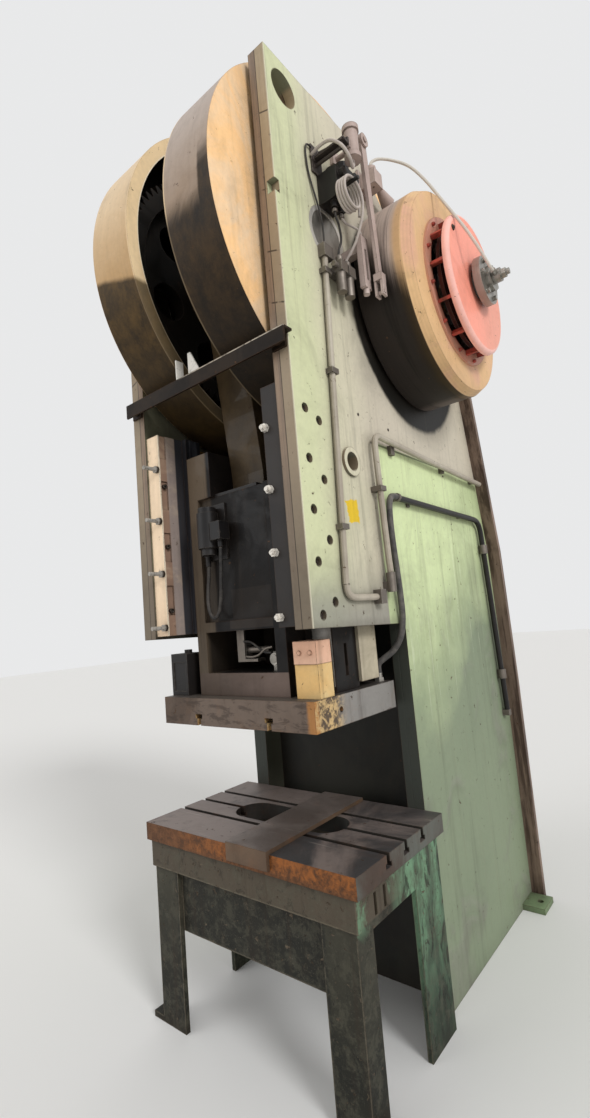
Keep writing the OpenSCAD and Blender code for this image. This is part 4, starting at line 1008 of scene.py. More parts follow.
@dataclass(frozen=True)
class CastIron(WornPaint):
    """Oily castings and forgings of the slide and rod: sand-cast relief and shiny film."""

    oil: float = 0.35
    grain: float = 180
    darken: float = 0.45
    smoothest: float = 0.34
    metal: float = 0.05
    round_edge: float = 0.006
    film: float = 0.3
    shine: float = 0.2

    def build(self) -> bpy.types.Material:
        """Makes the material.

        Returns:
            The finished material.
        """
        g = Graph(self.name)
        colour, rough, relief = self.wear(g, self.colour(g))
        sand = g.noise(self.grain, 3, 0.6)
        oily = g.rise(g.noise(5, 5, 0.6, 1), 0.42, 0.62) * self.oil
        return g.finish(g.shade(colour, 1.0 - oily * self.darken),
                        (rough - oily * 0.3).most(self.smoothest), self.metal,
                        relief + sand * 0.5, self.relief, self.round_edge,
                        oily * self.film, self.shine)


@dataclass(frozen=True)
class SlideIron(CastIron):
    """The slide: black oil and painted shade on its front, a browner case on the left and a
    grey-brown foot.
    """

    case: Triple = srgb(98, 84, 68)
    case_low: Triple = srgb(84, 73, 60)
    case_run: Triple = srgb(36, 31, 28)
    foot: Triple = srgb(80, 68, 60)
    foot_pale: Triple = srgb(118, 102, 94)
    door: Triple = srgb(50, 43, 38)
    # Painted shade in the recess behind the slide's front.
    recess_shade: Triple = srgb(20, 19, 19)
    door_x: tuple[float, float] = (-0.045, 0.20)
    door_z: tuple[float, float] = (1.70, 1.868)
    case_x: float = -0.120
    darken: float = 0.0
    smoothest: float = 0.36
    metal: float = 0.0
    film: float = 0.25
    shine: float = 0.16

    def colour(self, g: Graph) -> Colour:
        """Gives the slide's own colour, before any wear.

        Args:
            g: The graph to add to.

        Returns:
            The paint's own colour.
        """
        cloud = g.noise(4, 7, 0.66, 0.9)
        ahead = g.facing(Way.FRONT)
        panel = g.band(g.z, *self.door_z, 0.004) * g.band(g.x, *self.door_x, 0.004) * ahead
        runs = g.rise(g.noise((40, 40, 1.1), 6, 0.68, 0.1), 0.50, 0.70)
        case = g.lay(g.ramp(g.z + cloud * 0.3, 2.0, 2.6, self.case_low, self.case),
                     (runs * 0.6, self.case_run))
        foot = g.ramp(g.x + cloud * 0.2, -0.15, 0.30, self.foot, self.foot_pale)
        low = g.fall(g.z, DATUM.window_floor - 0.001, DATUM.window_floor + 0.001)
        # Marks the recess behind the front, which is painted in shade.
        deep = g.rise(g.depth, DATUM.slide_front + 0.004, DATUM.slide_front + 0.03)
        return g.lay(g.ramp(cloud, 0.35, 0.65, self.coat, self.tint),
                     (panel * 0.7, self.door),
                     (g.fall(g.x + cloud * 0.02, self.case_x - 0.02, self.case_x) * 0.92, case),
                     (low * ahead * 0.9, g.shade(foot, 0.75 + cloud * 0.5)),
                     (deep * 0.75 * g.fall(g.z, 2.29, 2.301), self.recess_shade))


@dataclass(frozen=True)
class GibPaint(WornPaint):
    """The left front gib: cream front, pink and lilac side, dark steel nose."""

    front: Triple = srgb(244, 218, 186)
    pink: Triple = srgb(146, 118, 100)
    lilac: Triple = srgb(152, 138, 131)
    nose: Triple = srgb(50, 51, 56)
    guide: Triple = srgb(92, 94, 102)
    # Near white of the painted highlight on the front corner.
    corner: Triple = srgb(252, 238, 212)
    front_y: float = 0.0085
    lilac_y: float = 0.054
    nose_y: float = 0.104
    guide_y: float = 0.148
    round_edge: float = 0.002

    def build(self) -> bpy.types.Material:
        """Makes the material.

        Returns:
            The finished material.
        """
        g = Graph(self.name)
        cloud = g.noise(5, 6, 0.66, 0.8)
        wipe = g.noise((30, 30, 1.6), 6, 0.68, 0.2)
        side = g.lay(g.ramp(g.depth + wipe * 0.012, self.lilac_y, self.lilac_y + 0.006,
                            self.pink, self.lilac),
                     (g.rise(cloud, 0.46, 0.66) * 0.35, self.coat),
                     (g.rise(g.depth + wipe * 0.01, self.nose_y, self.nose_y + 0.008),
                      self.nose))
        face = g.lay(g.shade(self.front, 0.85 + wipe * 0.3),
                     (g.fall(g.z + cloud * 0.3, 1.75, 2.05) * 0.35, self.pink))
        # Painted highlight along the corner between front and side.
        corner = g.band(g.depth, 0.008, 0.0125, 0.002) * g.fall(abs(g.x), 0.333, 0.336)
        sheen = g.rise(g.depth, self.guide_y, self.guide_y + 0.004)
        colour, rough, relief = self.wear(g, g.lay(
            g.shade(side, 0.8 + wipe * 0.4),
            (g.fall(g.depth, self.front_y, self.front_y + 0.002), face),
            (corner * 0.8, self.corner),
            (sheen, g.ramp(wipe, 0.45, 0.62, self.nose, self.guide))))
        return g.finish(colour, (rough - sheen * 0.15).most(0.3), sheen * 0.6, relief,
                        self.relief, self.round_edge)


@dataclass(frozen=True)
class CrossbarSteel(WornPaint):
    """The bar across the front: dirty brown, a painted highlight along its upper edge, white tabs.
    """

    top: Triple = srgb(92, 76, 60)
    # Pale colour of the painted highlight on the upper edge.
    bright: Triple = srgb(206, 194, 176)
    tab: Triple = srgb(232, 228, 220)
    ridge_z: float = 2.794
    tab_z: float = 2.8015
    round_edge: float = 0.002
    shine: float = 0.12

    def build(self) -> bpy.types.Material:
        """Makes the material.

        Returns:
            The finished material.
        """
        g = Graph(self.name)
        cloud = g.noise(3, 6, 0.66, 1)
        # Painted highlight: the bright line along the upper edge, broken up towards the right.
        ridge_highlight = g.rise(g.z, self.ridge_z, self.ridge_z + 0.003) * g.fall(
            g.depth, -0.049, -0.045)
        rubbed = g.rise(g.x + cloud * 0.25, 0.02, 0.16) * g.rise(g.noise(40, 5, 0.7), 0.3, 0.5)
        colour, rough, relief = self.wear(g, g.lay(
            g.ramp(cloud, 0.38, 0.62, self.coat, self.tint),
            (g.facing(Way.UP) * 0.6, self.top), (ridge_highlight * rubbed * 0.9, self.bright)))
        stains = g.rise(g.noise(30, 6, 0.7, 1), 0.5, 0.7)
        tabs = g.rise(g.z, self.tab_z, self.tab_z + 0.002) * (1.0 - stains * 0.35)
        return g.finish(g.blend(tabs, colour, self.tab), rough, 0.0, relief, self.relief,
                        self.round_edge, shine=self.shine)


@dataclass(frozen=True)
class BasePaint(WornPaint):
    """The table base: grey-brown flange, blackened apron, brighter peeling rear legs."""

    bright: Triple = srgb(110, 146, 116)
    deep_green: Triple = srgb(76, 96, 78)
    flange: Triple = srgb(80, 72, 61)
    apron: Triple = srgb(37, 37, 33)
    # Near black for the peeling and for the painted shade near the floor.
    under: Triple = srgb(26, 27, 23)
    speck: Triple = srgb(116, 110, 98)
    mottled: Triple = srgb(82, 80, 68)
    pale_corner: Triple = srgb(150, 142, 122)
    leg_x: float = 0.40
    flange_z: float = 0.655
    relief: float = 0.00112
    shine: float = 0.14

    def build(self) -> bpy.types.Material:
        """Makes the material.

        Returns:
            The finished material.
        """
        g = Graph(self.name)
        wide = abs(g.x)
        cloud = g.noise(1.8, 6, 0.6, 0.8)
        scab = g.noise(14, 8, 0.75, 0.6)
        ahead = g.facing(Way.FRONT)
        between = g.fall(wide, self.leg_x, self.leg_x + 0.015) * ahead * g.fall(
            g.z, self.flange_z, self.flange_z + 0.005)
        peeled = g.rise(g.noise((15, 15, 5), 7, 0.74, 1.2), 0.52, 0.58)
        fresh = g.lay(g.ramp(g.noise((9, 9, 2.5), 6, 0.7, 0.3), 0.40, 0.60,
                             self.deep_green, self.bright), (peeled * 0.8, self.under))
        rear = g.rise(g.depth + cloud * 0.2, 0.34, 0.48) * g.rise(
            wide, self.leg_x, self.leg_x + 0.04)
        peel = g.rise(scab, 0.56, 0.60) * (1.0 - rear)
        mottle = g.rise(g.noise(16, 9, 0.8, 0.3), 0.46, 0.60)
        specks = g.rise(g.noise(110, 6, 0.78), 0.57, 0.68)
        mould = g.rise(g.noise(5, 7, 0.7, 0.8), 0.50, 0.60) * g.facing(Way.RIGHT)
        corner = g.worn_edge(0.012) * g.rise(scab, 0.36, 0.52) * ahead
        # Painted shade darkens the lower legs towards the floor.
        colour, rough, relief = self.wear(g, g.lay(
            g.ramp(cloud, 0.36, 0.64, self.coat, self.tint),
            (between * 0.9, self.apron),
            (g.rise(g.z, self.flange_z, self.flange_z + 0.007), self.flange),
            (rear, fresh),
            (peel * 0.4, self.under),
            (g.fall(g.z + cloud * 0.5, 0.35, 0.95) * 0.85, self.under),
            (mottle * 0.45, self.mottled),
            (specks * 0.4, self.speck),
            (mould * g.rise(g.z, 0.60, 0.70) * 0.7, self.bright),
            (corner * 0.55, self.pale_corner)))
        relief = relief - peel * 0.3 - peeled * rear * 0.3
        return g.finish(colour, rough, 0.0, relief, self.relief, self.round_edge,
                        shine=self.shine)


@dataclass(frozen=True)
class BareMetal:
    """Machined metal with tool marks, stains and a film of oil."""

    name: str
    coat: Triple
    stain: Triple
    rough: float = 0.38
    marks: Triple = (240, 6, 6)
    dirt: float = 0.5
    rubbed: Triple = srgb(210, 206, 198)

    def build(self) -> bpy.types.Material:
        """Makes the material.

        Returns:
            The finished material.
        """
        g = Graph(self.name)
        tool = g.noise(self.marks, 4, 0.6)
        cloud = g.noise(9, 7, 0.65, 0.8)
        dirty = (g.rise(cloud, 0.42, 0.7) * 0.7 + g.crevice(0.05) * 0.8) * self.dirt
        colour = g.lay(g.shade(self.coat, 0.75 + tool * 0.5), (dirty.least(0.9), self.stain),
                       (g.worn_edge(0.003) * 0.35, self.rubbed))
        rough = self.rough + dirty * 0.35 + tool * 0.12
        return g.finish(colour, rough.least(0.9), 1.0 - dirty.least(0.85), tool, 0.0002, 0.002)


@dataclass(frozen=True)
class StudMetal(BareMetal):
    """The gibs' studs: oil-black on the left gib, bright on the right one."""

    oily: Triple = srgb(44, 36, 30)
    bright: Triple = srgb(222, 216, 206)

    def build(self) -> bpy.types.Material:
        """Makes the material.

        Returns:
            The finished material.
        """
        g = Graph(self.name)
        cloud = g.noise(60, 6, 0.7, 0.6)
        right = g.rise(g.x, -0.01, 0.01)
        tip = g.fall(g.depth, -0.012, 0.0) * (1.0 - right)
        colour = g.lay(self.oily, ((right + tip * 0.5).least(1.0), self.bright),
                       (g.rise(cloud, 0.48, 0.66) * 0.6, self.stain))
        return g.finish(colour, self.rough + cloud * 0.2, right * 0.3, cloud, 0.0003, 0.001)


@dataclass(frozen=True)
class Rubber:
    """Dusty hose rubber with the faint ribs of its fabric."""

    name: str
    coat: Triple
    dust: Triple
    dusty: float
    dust_from: Triple = (0.4, -0.2, 0.9)

    def build(self) -> bpy.types.Material:
        """Makes the material.

        Returns:
            The finished material.
        """
        g = Graph(self.name)
        cloud = g.noise(22, 6, 0.7, 0.5)
        fine = g.noise(260, 3, 0.6)
        up = g.cosine(g.normal, self.dust_from)
        dust = (g.rise(cloud, 0.35, 0.7) * 0.6 + g.rise(up, 0.2, 1) * 0.5) * self.dusty
        colour = g.blend(dust.least(0.9), g.shade(self.coat, 0.8 + fine * 0.4), self.dust)
        return g.finish(colour, 0.55 + dust * 0.3, 0.0, fine, 0.0003, 0.001)


class Finishes:
    """Every finish of the press, each built once and looked up by name."""

    def __init__(self) -> None:
        """Builds the materials."""
        self.materials = {finish.name: finish.build() for finish in self.all()}

    @staticmethod
    def all() -> list:
        """Lists the finishes.

        Returns:
            The finishes.
        """
        return [
            PlatePaint("side_plate_enamel", srgb(212, 206, 182), srgb(200, 196, 170),
                       streak=0.35, dirt=0.34, chips=0.3, edge=0.7),
            WornPaint("column_green", srgb(128, 150, 112), srgb(98, 116, 88),
                      bare=srgb(120, 96, 74), chips=0.6, dirt=0.6),
            BackPaint("back_green", srgb(160, 176, 134), srgb(134, 148, 114), chips=0.4,
                      dirt=0.45),
            # The cross plates inside the frame are painted dark as shade.
            WornPaint("inside_grey_shade", srgb(44, 43, 37), srgb(28, 28, 25), chips=0.2, dirt=0.5),
            BasePaint("base_green", srgb(66, 64, 54), srgb(42, 42, 36),
                      bare=srgb(104, 94, 80), chips=0.9, dirt=0.4, streak=0.6, edge=0.6),
            SlabSteel("slab_steel", srgb(88, 66, 48), srgb(72, 58, 50), chips=0.4, dirt=0.3,
                      edge=0.3, rust=srgb(134, 82, 42), rust_share=0.25),
            RustySteel("bar_steel", srgb(112, 92, 74), srgb(90, 72, 58),
                       top=srgb(122, 112, 106), top_dark=srgb(96, 86, 80), rust_share=0.35,
                       dirt=0.35, edge=0.3),
            FlangeSteel("flange_steel", srgb(108, 94, 84), srgb(84, 70, 60),
                        top=srgb(96, 88, 80), rust=srgb(178, 132, 84), rust_share=0.3,
                        dirt=0.3, chips=0.6, edge=0.5),
            CrossbarSteel("crossbar_steel", srgb(40, 30, 21), srgb(24, 17, 12), dirt=0.25),
            WornPaint("bracket_steel", srgb(70, 62, 58), srgb(48, 42, 40),
                      bare=srgb(156, 144, 138), chips=0.8, dirt=0.3, edge=1.0),
            # The dark lower guards are painted shadow over oil; on the right guard the shadow's
            # line has a step.
            GuardPaint("guard_left_tan", srgb(225, 200, 165), srgb(190, 154, 108),
                       streak=0.25, dirt=0.3, chips=0.2, edge=0.4,
                       oily=srgb(82, 62, 30), shade=srgb(30, 22, 10), slant=-0.31),
            GuardPaint("guard_right_tan", srgb(182, 168, 158), srgb(150, 126, 102),
                       streak=0.25, dirt=0.35, chips=0.2, edge=0.4,
                       oily=srgb(60, 44, 23), shade=srgb(16, 12, 7),
                       shade_top=3.33, step=0.15, soft=0.06, ragged=0.12),
            WheelPaint("wheel_ochre", srgb(176, 140, 96), srgb(150, 118, 84), streak=0.15,
                       dirt=0.3, chips=0.3, edge=0.35),
            ClutchPaint("clutch_salmon", srgb(214, 108, 88), srgb(196, 92, 74),
                        grime=srgb(74, 38, 30), streak=0.15, dirt=0.3, chips=0.15, edge=0.4),
            # The slide's near black is oil, darkened further as painted shade.
            SlideIron("slide_iron", srgb(22, 19, 18), srgb(12, 11, 12), dirt=0.35, streak=0.3,
                      chips=0.3, edge=0.4),
            CastIron("rod_iron", srgb(92, 76, 54), srgb(64, 52, 36), dirt=0.3, streak=0.6,
                     chips=0.2, edge=0.4),
            # The gears are painted near black as shade between the guards.
            CastIron("gear_iron_shade", srgb(27, 23, 19), srgb(16, 14, 12), dirt=0.3, oil=0.5,
                     edge=0.3),
            GibPaint("gib_cream", srgb(222, 198, 168), srgb(196, 170, 140), dirt=0.35,
                     streak=0.3, chips=0.3),
            WornPaint("gib_grey", srgb(46, 42, 40), srgb(32, 30, 30), dirt=0.5),
            WornPaint("rear_gib_cream", srgb(206, 196, 172), srgb(176, 166, 144), dirt=0.5),
            WornPaint("conduit_cream", srgb(186, 178, 162), srgb(160, 150, 136), dirt=0.45,
                      chips=0.5, streak=0.3, edge=0.0),
            WornPaint("stop_orange", srgb(223, 182, 118), srgb(214, 190, 140), dirt=0.3,
                      chips=0.5),
            WornPaint("cap_pink", srgb(228, 186, 159), srgb(214, 166, 138), dirt=0.3,
                      chips=0.4),
            WornPaint("black_enamel", srgb(32, 30, 30), srgb(22, 21, 22), bare=srgb(96, 90, 84),
                      dirt=0.3, chips=0.3, gloss=0.35),
            WornPaint("valve_pink", srgb(206, 188, 180), srgb(178, 158, 150), dirt=0.4,
                      chips=0.3, bare=srgb(120, 104, 96)),
            BareMetal("screw_black", srgb(70, 60, 52), srgb(40, 30, 24), 0.5, dirt=0.7),
            BareMetal("stud_steel", srgb(176, 172, 164), srgb(60, 50, 42), 0.35),
            StudMetal("gib_stud_steel", srgb(176, 172, 164), srgb(70, 58, 48), 0.4),
            BareMetal("stud_pale", srgb(226, 222, 214), srgb(150, 140, 128), 0.4, dirt=0.3),
            BareMetal("turned_steel", srgb(160, 156, 148), srgb(62, 52, 42), 0.32),
            BareMetal("guide_steel", srgb(150, 146, 140), srgb(70, 62, 54), 0.3,
                      marks=(8, 8, 260)),
            BareMetal("bearing_bronze", srgb(176, 136, 78), srgb(74, 54, 34), 0.35),
            BareMetal("fitting_steel", srgb(128, 120, 112), srgb(60, 54, 48), 0.45),
            BareMetal("friction_lining", srgb(96, 54, 46), srgb(40, 26, 22), 0.6, dirt=0.8),
            Rubber("hose_grey", srgb(64, 63, 63), srgb(140, 134, 126), 0.6),
            Rubber("hose_black", srgb(30, 29, 29), srgb(120, 112, 104), 0.45),
            Rubber("line_white", srgb(214, 208, 198), srgb(160, 150, 140), 0.3),
            Rubber("line_grey", srgb(176, 165, 158), srgb(208, 198, 190), 0.5),
        ]

    def dress(self, thing: bpy.types.Object, finish: str) -> None:
        """Gives an object one finish.

        Args:
            thing: The object.
            finish: The finish's name.
        """
        thing.data.materials.clear()
        thing.data.materials.append(self.materials[finish])


FINISH_NODES: dict[str, str] = {
    "side_plate_enamel": "side_plate_right side_plate_left",
    "column_green": "column_feet",
    "back_green": "back_plate",
    "inside_grey_shade": "cross_plates",
    "base_green": "table_base",
    "slab_steel": "table_slab",
    "bar_steel": "loose_bar",
    "flange_steel": "slide_flange",
    "crossbar_steel": "front_crossbar",
    "bracket_steel": "valve_bracket",
    "guard_left_tan": "gear_guard_left",
    "guard_right_tan": "gear_guard_right",
    "wheel_ochre": "flywheel",
    "clutch_salmon": "clutch",
    "slide_iron": "slide_body",
    "rod_iron": "conrod conrod_cap",
    "gear_iron_shade": "bull_gears",
    "gib_cream": "front_gib_left",
    "gib_grey": "front_gib_right",
    "rear_gib_cream": "rear_gibs",
    "conduit_cream": "front_conduit side_pipe",
    "stop_orange": "stop_block",
    "cap_pink": "stop_cap",
    "black_enamel": "air_pipe valve_block slide_top_ring oil_box adjust_motor",
    "valve_pink": "air_cylinder hanger_rod rear_valve limit_switch",
    "screw_black": "gib_screws",
    "stud_steel": "hose_foot_fitting",
    "gib_stud_steel": "gib_studs",
    "stud_pale": "bearing_bushes",
    "turned_steel": "rotary_union ball_seat height_dial rod_bolts adjusting_screw "
                    "eccentric_shaft drive_shaft pinions hub_plate",
    "guide_steel": "slide_liners",
    "bearing_bronze": "side_liners rod_bush flywheel_bush",
    "fitting_steel": "pipe_fittings air_filter window_bracket",
    "friction_lining": "friction_disc",
    "hose_grey": "slide_hose",
    "hose_black": "air_hoses motor_hose",
    "line_white": "feed_pipe",
}


@dataclass
class CameraRig:
    """The photograph's viewpoint, found by fitting a pinhole camera to the press's edges."""

    place: Vector = field(default_factory=lambda: DATUM.at(1.6956, -1.5594, 1.7104))
    yaw: float = 38.8254
    pitch: float = 6.4199
    roll: float = -4.8132
    focal_pixels: float = 549.07
    image_height: int = 1118
    sensor: float = 36
    reach: tuple[float, float] = (0.05, 100)

    def build(self) -> bpy.types.Object:
        """Adds the camera to the scene and returns it.

        Returns:
            The camera.
        """
        yaw, pitch, roll = (math.radians(a) for a in (self.yaw, self.pitch, self.roll))
        ahead = Vector((-math.sin(yaw) * math.cos(pitch), math.cos(yaw) * math.cos(pitch),
                        math.sin(pitch)))
        level = Vector((math.cos(yaw), math.sin(yaw), 0))
        up = level.cross(ahead)
        right = math.cos(roll) * level + math.sin(roll) * up
        above = -math.sin(roll) * level + math.cos(roll) * up
        data = bpy.data.cameras.new("viewpoint")
        data.sensor_width = self.sensor
        data.lens = self.focal_pixels / self.image_height * data.sensor_width
        data.clip_start, data.clip_end = self.reach
        camera = bpy.data.objects.new("viewpoint", data)
        bpy.context.scene.collection.objects.link(camera)
        turn = Matrix((right, above, -ahead)).transposed()
        camera.matrix_world = Matrix.Translation(self.place) @ turn.to_4x4()
        bpy.context.scene.camera = camera
        return camera


@dataclass
class Studio:
    """Pale floor, pale surroundings and soft lamps."""

    floor_size: float = 60.0
    floor_drop: float = 0.0005
    floor_colour: Triple = (0.80, 0.80, 0.79)
    floor_rough: float = 0.85
    background: tuple[Triple, float] = ((0.90, 0.905, 0.91), 0.9)
    surroundings: tuple[Triple, float] = ((1.0, 0.985, 0.965), 0.62)

    def floor(self) -> bpy.types.Object:
        """Adds the floor plane.

        Returns:
            The floor.
        """
        bpy.ops.mesh.primitive_plane_add(size=self.floor_size, location=(0, 0, -self.floor_drop))
        plane = bpy.context.object
        plane.name = "studio_floor"
        g = Graph("floor_pale")
        g.end("ShaderNodeOutputMaterial", g.node("ShaderNodeBsdfPrincipled", values={
            "Base Color": self.floor_colour, "Roughness": self.floor_rough}))
        plane.data.materials.append(g.material)
        return plane

    def lamp(self, name: str, toward: Triple, strength: float, angle: float) -> None:
        """Adds one distant lamp.

        Args:
            name: The lamp's name.
            toward: Direction from the press to the lamp.
            strength: Irradiance in watts per square metre.
            angle: Apparent size in degrees.
        """
        data = bpy.data.lights.new(name, "SUN")
        data.energy = strength
        data.angle = math.radians(angle)
        lamp = bpy.data.objects.new(name, data)
        bpy.context.scene.collection.objects.link(lamp)
        lamp.rotation_mode = "QUATERNION"
        lamp.rotation_quaternion = Vector(toward).normalized().to_track_quat("Z", "Y")

    def world(self) -> None:
        """Sets even light from all round, with a pale background behind the press."""
        world = bpy.data.worlds.new("studio")
        bpy.context.scene.world = world
        sky = Nodes(world)
        direct, mirrored, through = (
            sky.node("ShaderNodeLightPath", output=f"Is {kind} Ray")
            for kind in ("Camera", "Glossy", "Transmission"))
        light, shown = (
            sky.node("ShaderNodeBackground", values={"Color": colour, "Strength": strength})
            for colour, strength in (self.surroundings, self.background))
        sky.end("ShaderNodeOutputWorld", sky.node("ShaderNodeMixShader", values={
            0: direct.most(mirrored).most(through), 1: light, 2: shown}))

    def build(self) -> None:
        """Adds the floor, the world and the lamps."""
        self.floor()
        self.world()
        self.lamp("key", (0.86, -0.28, 0.52), 1.55, 18)
        self.lamp("fill", (-0.5, -0.8, 0.45), 0.55, 40)
        bpy.context.scene.view_settings.view_transform = "Standard"


class Workshop:
    """Modelling helpers that work through Blender's own operators."""

    @staticmethod
    def choose(*things: bpy.types.Object) -> None:
        """Selects only these objects and makes the first one active.

        Args:
            things: The objects, or none to leave nothing selected.
        """
        if bpy.context.object and bpy.context.object.mode != "OBJECT":
            bpy.ops.object.mode_set(mode="OBJECT")
        bpy.ops.object.select_all(action="DESELECT")
        for thing in things:
            thing.select_set(True)
        if things:
            bpy.context.view_layer.objects.active = things[0]

    @classmethod
    def settle(cls, thing: bpy.types.Object, name: str) -> None:
        """Applies the modifiers and the place, so that the object sits at the origin.

        Args:
            thing: The finished object.
            name: Its final name.
        """
        cls.choose(thing)
        for modifier in list(thing.modifiers):
            bpy.ops.object.modifier_apply(modifier=modifier.name)
        bpy.ops.object.transform_apply(location=True, rotation=True, scale=True)
        thing.name = thing.data.name = name

    @staticmethod
    def pick(thing: bpy.types.Object, way: Way, least: float = 0.9) -> None:
        """Selects the faces that look one way, and leaves the object in edit mode.

        Args:
            thing: The object.
            way: The way that the faces look.
            least: The least cosine that still counts.
        """
        bpy.ops.object.mode_set(mode="EDIT")
        bpy.ops.mesh.select_mode(type="FACE")
        bpy.ops.mesh.select_all(action="DESELECT")
        bpy.ops.object.mode_set(mode="OBJECT")
        for polygon in thing.data.polygons:
            polygon.select = polygon.normal.dot(Vector(way.value)) > least
        bpy.ops.object.mode_set(mode="EDIT")

    @classmethod
    def join(cls, things: Sequence[bpy.types.Object], name: str,
             crease: float = 35) -> bpy.types.Object:
        """Joins objects into one piece at the origin.

        Args:
            things: What to join.
            name: The piece's name.
            crease: Degrees between two faces up to which they are shaded as one.

        Returns:
            The joined piece.
        """
        for number, thing in enumerate(things):
            cls.settle(thing, f"{name}_{number}")
        cls.choose(*things)
        if len(things) > 1:
            bpy.ops.object.join()
        whole = bpy.context.object
        whole.name = whole.data.name = name
        cls.choose(whole)
        bpy.ops.object.shade_smooth_by_angle(angle=math.radians(crease))
        return whole


def curve_points(chosen: Sequence[Triple], steps: int) -> list[Vector]:
    """Smooths a few chosen points into a fine route through them.

    Each piece's end slopes are scaled by its own length, so that a short piece beside a
    long one doesn't overshoot.

    Args:
        chosen: The points to pass through, in the drawing's millimetres.
        steps: Pieces between two of them.

    Returns:
        The route in the frame.
    """
    points = [DATUM.at(*(v / 1000 for v in p)) for p in chosen]
    ends = [points[0], *points, points[-1]]
    route = []
    for a, b, c, d in zip(ends, ends[1:], ends[2:], ends[3:]):
        length = (c - b).length
        leave = (c - a) * length / (length + (b - a).length)
        arrive = (d - b) * length / (length + (d - c).length)
        for k in range(steps):
            t = k / steps
            route.append((2 * t ** 3 - 3 * t ** 2 + 1) * b + (t ** 3 - 2 * t ** 2 + t) * leave
                         + (3 * t ** 2 - 2 * t ** 3) * c + (t ** 3 - t ** 2) * arrive)
    return [*route, points[-1]]


def route_length(route: Sequence[Vector]) -> float:
    """Measures a route."""
    return sum((b - a).length for a, b in zip(route, route[1:]))


@dataclass
class Tube:
    """A round section swept along chosen points, as a rigid pipe of one body."""

    name: str
    chosen: Sequence[Triple]
    radius: float
    finish: str
    body: str = "frame"
    steps: int = 6
    sides: int = 14

    def points(self) -> list[Triple]:
        """Gives the points that the tube passes through."""
        return list(self.chosen)

    def mesh(self, route: Sequence[Vector]) -> bpy.types.Object:
        """Sweeps the round section along the route.

        Args:
            route: The centre line.

        Returns:
            The tube.
        """
        shell = bmesh.new()
        rings = []
        side = Vector((0.31, 0.17, 0.93))
        for i, point in enumerate(route):
            ahead = (route[min(i + 1, len(route) - 1)] - route[max(i - 1, 0)]).normalized()
            side = (side - ahead * side.dot(ahead)).normalized()
            other = ahead.cross(side)
            rings.append([
                shell.verts.new(point + self.radius * (
                    math.cos(2 * math.pi * k / self.sides) * side
                    + math.sin(2 * math.pi * k / self.sides) * other))
                for k in range(self.sides)])
        for one, two in zip(rings, rings[1:]):
            for k in range(self.sides):
                j = (k + 1) % self.sides
                shell.faces.new((one[k], one[j], two[j], two[k]))
        shell.faces.new(list(reversed(rings[0])))
        shell.faces.new(rings[-1])
        bmesh.ops.recalc_face_normals(shell, faces=shell.faces)
        data = bpy.data.meshes.new(self.name)
        shell.to_mesh(data)
        shell.free()
        for face in data.polygons:
            face.use_smooth = len(face.vertices) == 4
        tube = bpy.data.objects.new(self.name, data)
        bpy.context.scene.collection.objects.link(tube)
        return tube

    def attach(self, tube: bpy.types.Object, route: Sequence[Vector]) -> None:
        """Says which body the tube moves with.

        Args:
            tube: The tube.
            route: Its centre line; not used.
        """
        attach(tube, self.body)

    def build(self, finishes: Finishes) -> bpy.types.Object:
        """Makes the tube, dresses it and lets it ride on its body.

        Args:
            finishes: The finishes to dress it with.

        Returns:
            The tube.
        """
        route = curve_points(self.points(), self.steps)
        tube = self.mesh(route)
        finishes.dress(tube, self.finish)
        self.attach(tube, route)
        return tube


@dataclass
class Hose(Tube):
    """A free hose or cable, with its length taken from its route."""

    node: str = ""
    far_end: str = "object"
    stiffness: str = "medium"
    lay: str = "hanging"

    def attach(self, tube: bpy.types.Object, route: Sequence[Vector]) -> None:
        """Lets the hose stand for its solid, and says which body it moves with.

        Args:
            tube: The hose.
            route: Its centre line.
        """
        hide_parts(self.node)
        route_length(route)
        self.hang(tube, route)

    def hang(self, tube: bpy.types.Object, route: Sequence[Vector]) -> None:
        """Lets the hose ride on its body.

        Args:
            tube: The hose.
            route: Its centre line; not used.
        """
        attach(tube, self.body)


@dataclass
class SlideHose(Hose):
    """The air hose from the side plate to the slide."""

    name: str = "slide_air_hose"
    chosen: Sequence[Triple] = (
        (531, 659.7, 2232), (531, 648, 2232), (531, 636, 2232), (532, 606, 2225),
        (534, 582, 2190), (532, 578, 2120), (530, 584, 2020), (528, 598, 1900),
        (524, 614, 1780), (516, 626, 1680), (492, 634, 1600), (452, 630, 1544),
        (412, 612, 1512), (389, 602, 1494), (383, 600, 1478), (383, 600, 1464),
        (383, 600, 1450.4))
    radius: float = 0.014
    finish: str = "hose_grey"
    node: str = "slide_hose"

    def hang(self, tube: bpy.types.Object, route: Sequence[Vector]) -> None:
        """Bakes the hose's place into its mesh.

        Args:
            tube: The hose.
            route: Its centre line; not used.
        """
        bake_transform(tube)


@dataclass
class MotorHose(Hose):
    """The cable loop that hangs from the height motor."""

    name: str = "motor_cable"
    chosen: Sequence[Triple] = (
        (-152, 114, 1984.7), (-153, 112, 1940), (-157, 106, 1880), (-155, 100, 1820),
        (-140, 96, 1772), (-112, 93, 1752), (-82, 92, 1772), (-64, 92, 1830),
        (-54, 92, 1920), (-47, 92, 2000), (-44, 92, 2059.7))
    radius: float = 0.008
    finish: str = "hose_black"
    body: str = "slide"
    node: str = "motor_hose"
    stiffness: str = "limp"


@dataclass
class ThinLine(Hose):
    """A thin line or cable of the valve group."""

    sides: int = 12
    node: str = "air_hoses"
    stiffness: str = "limp"


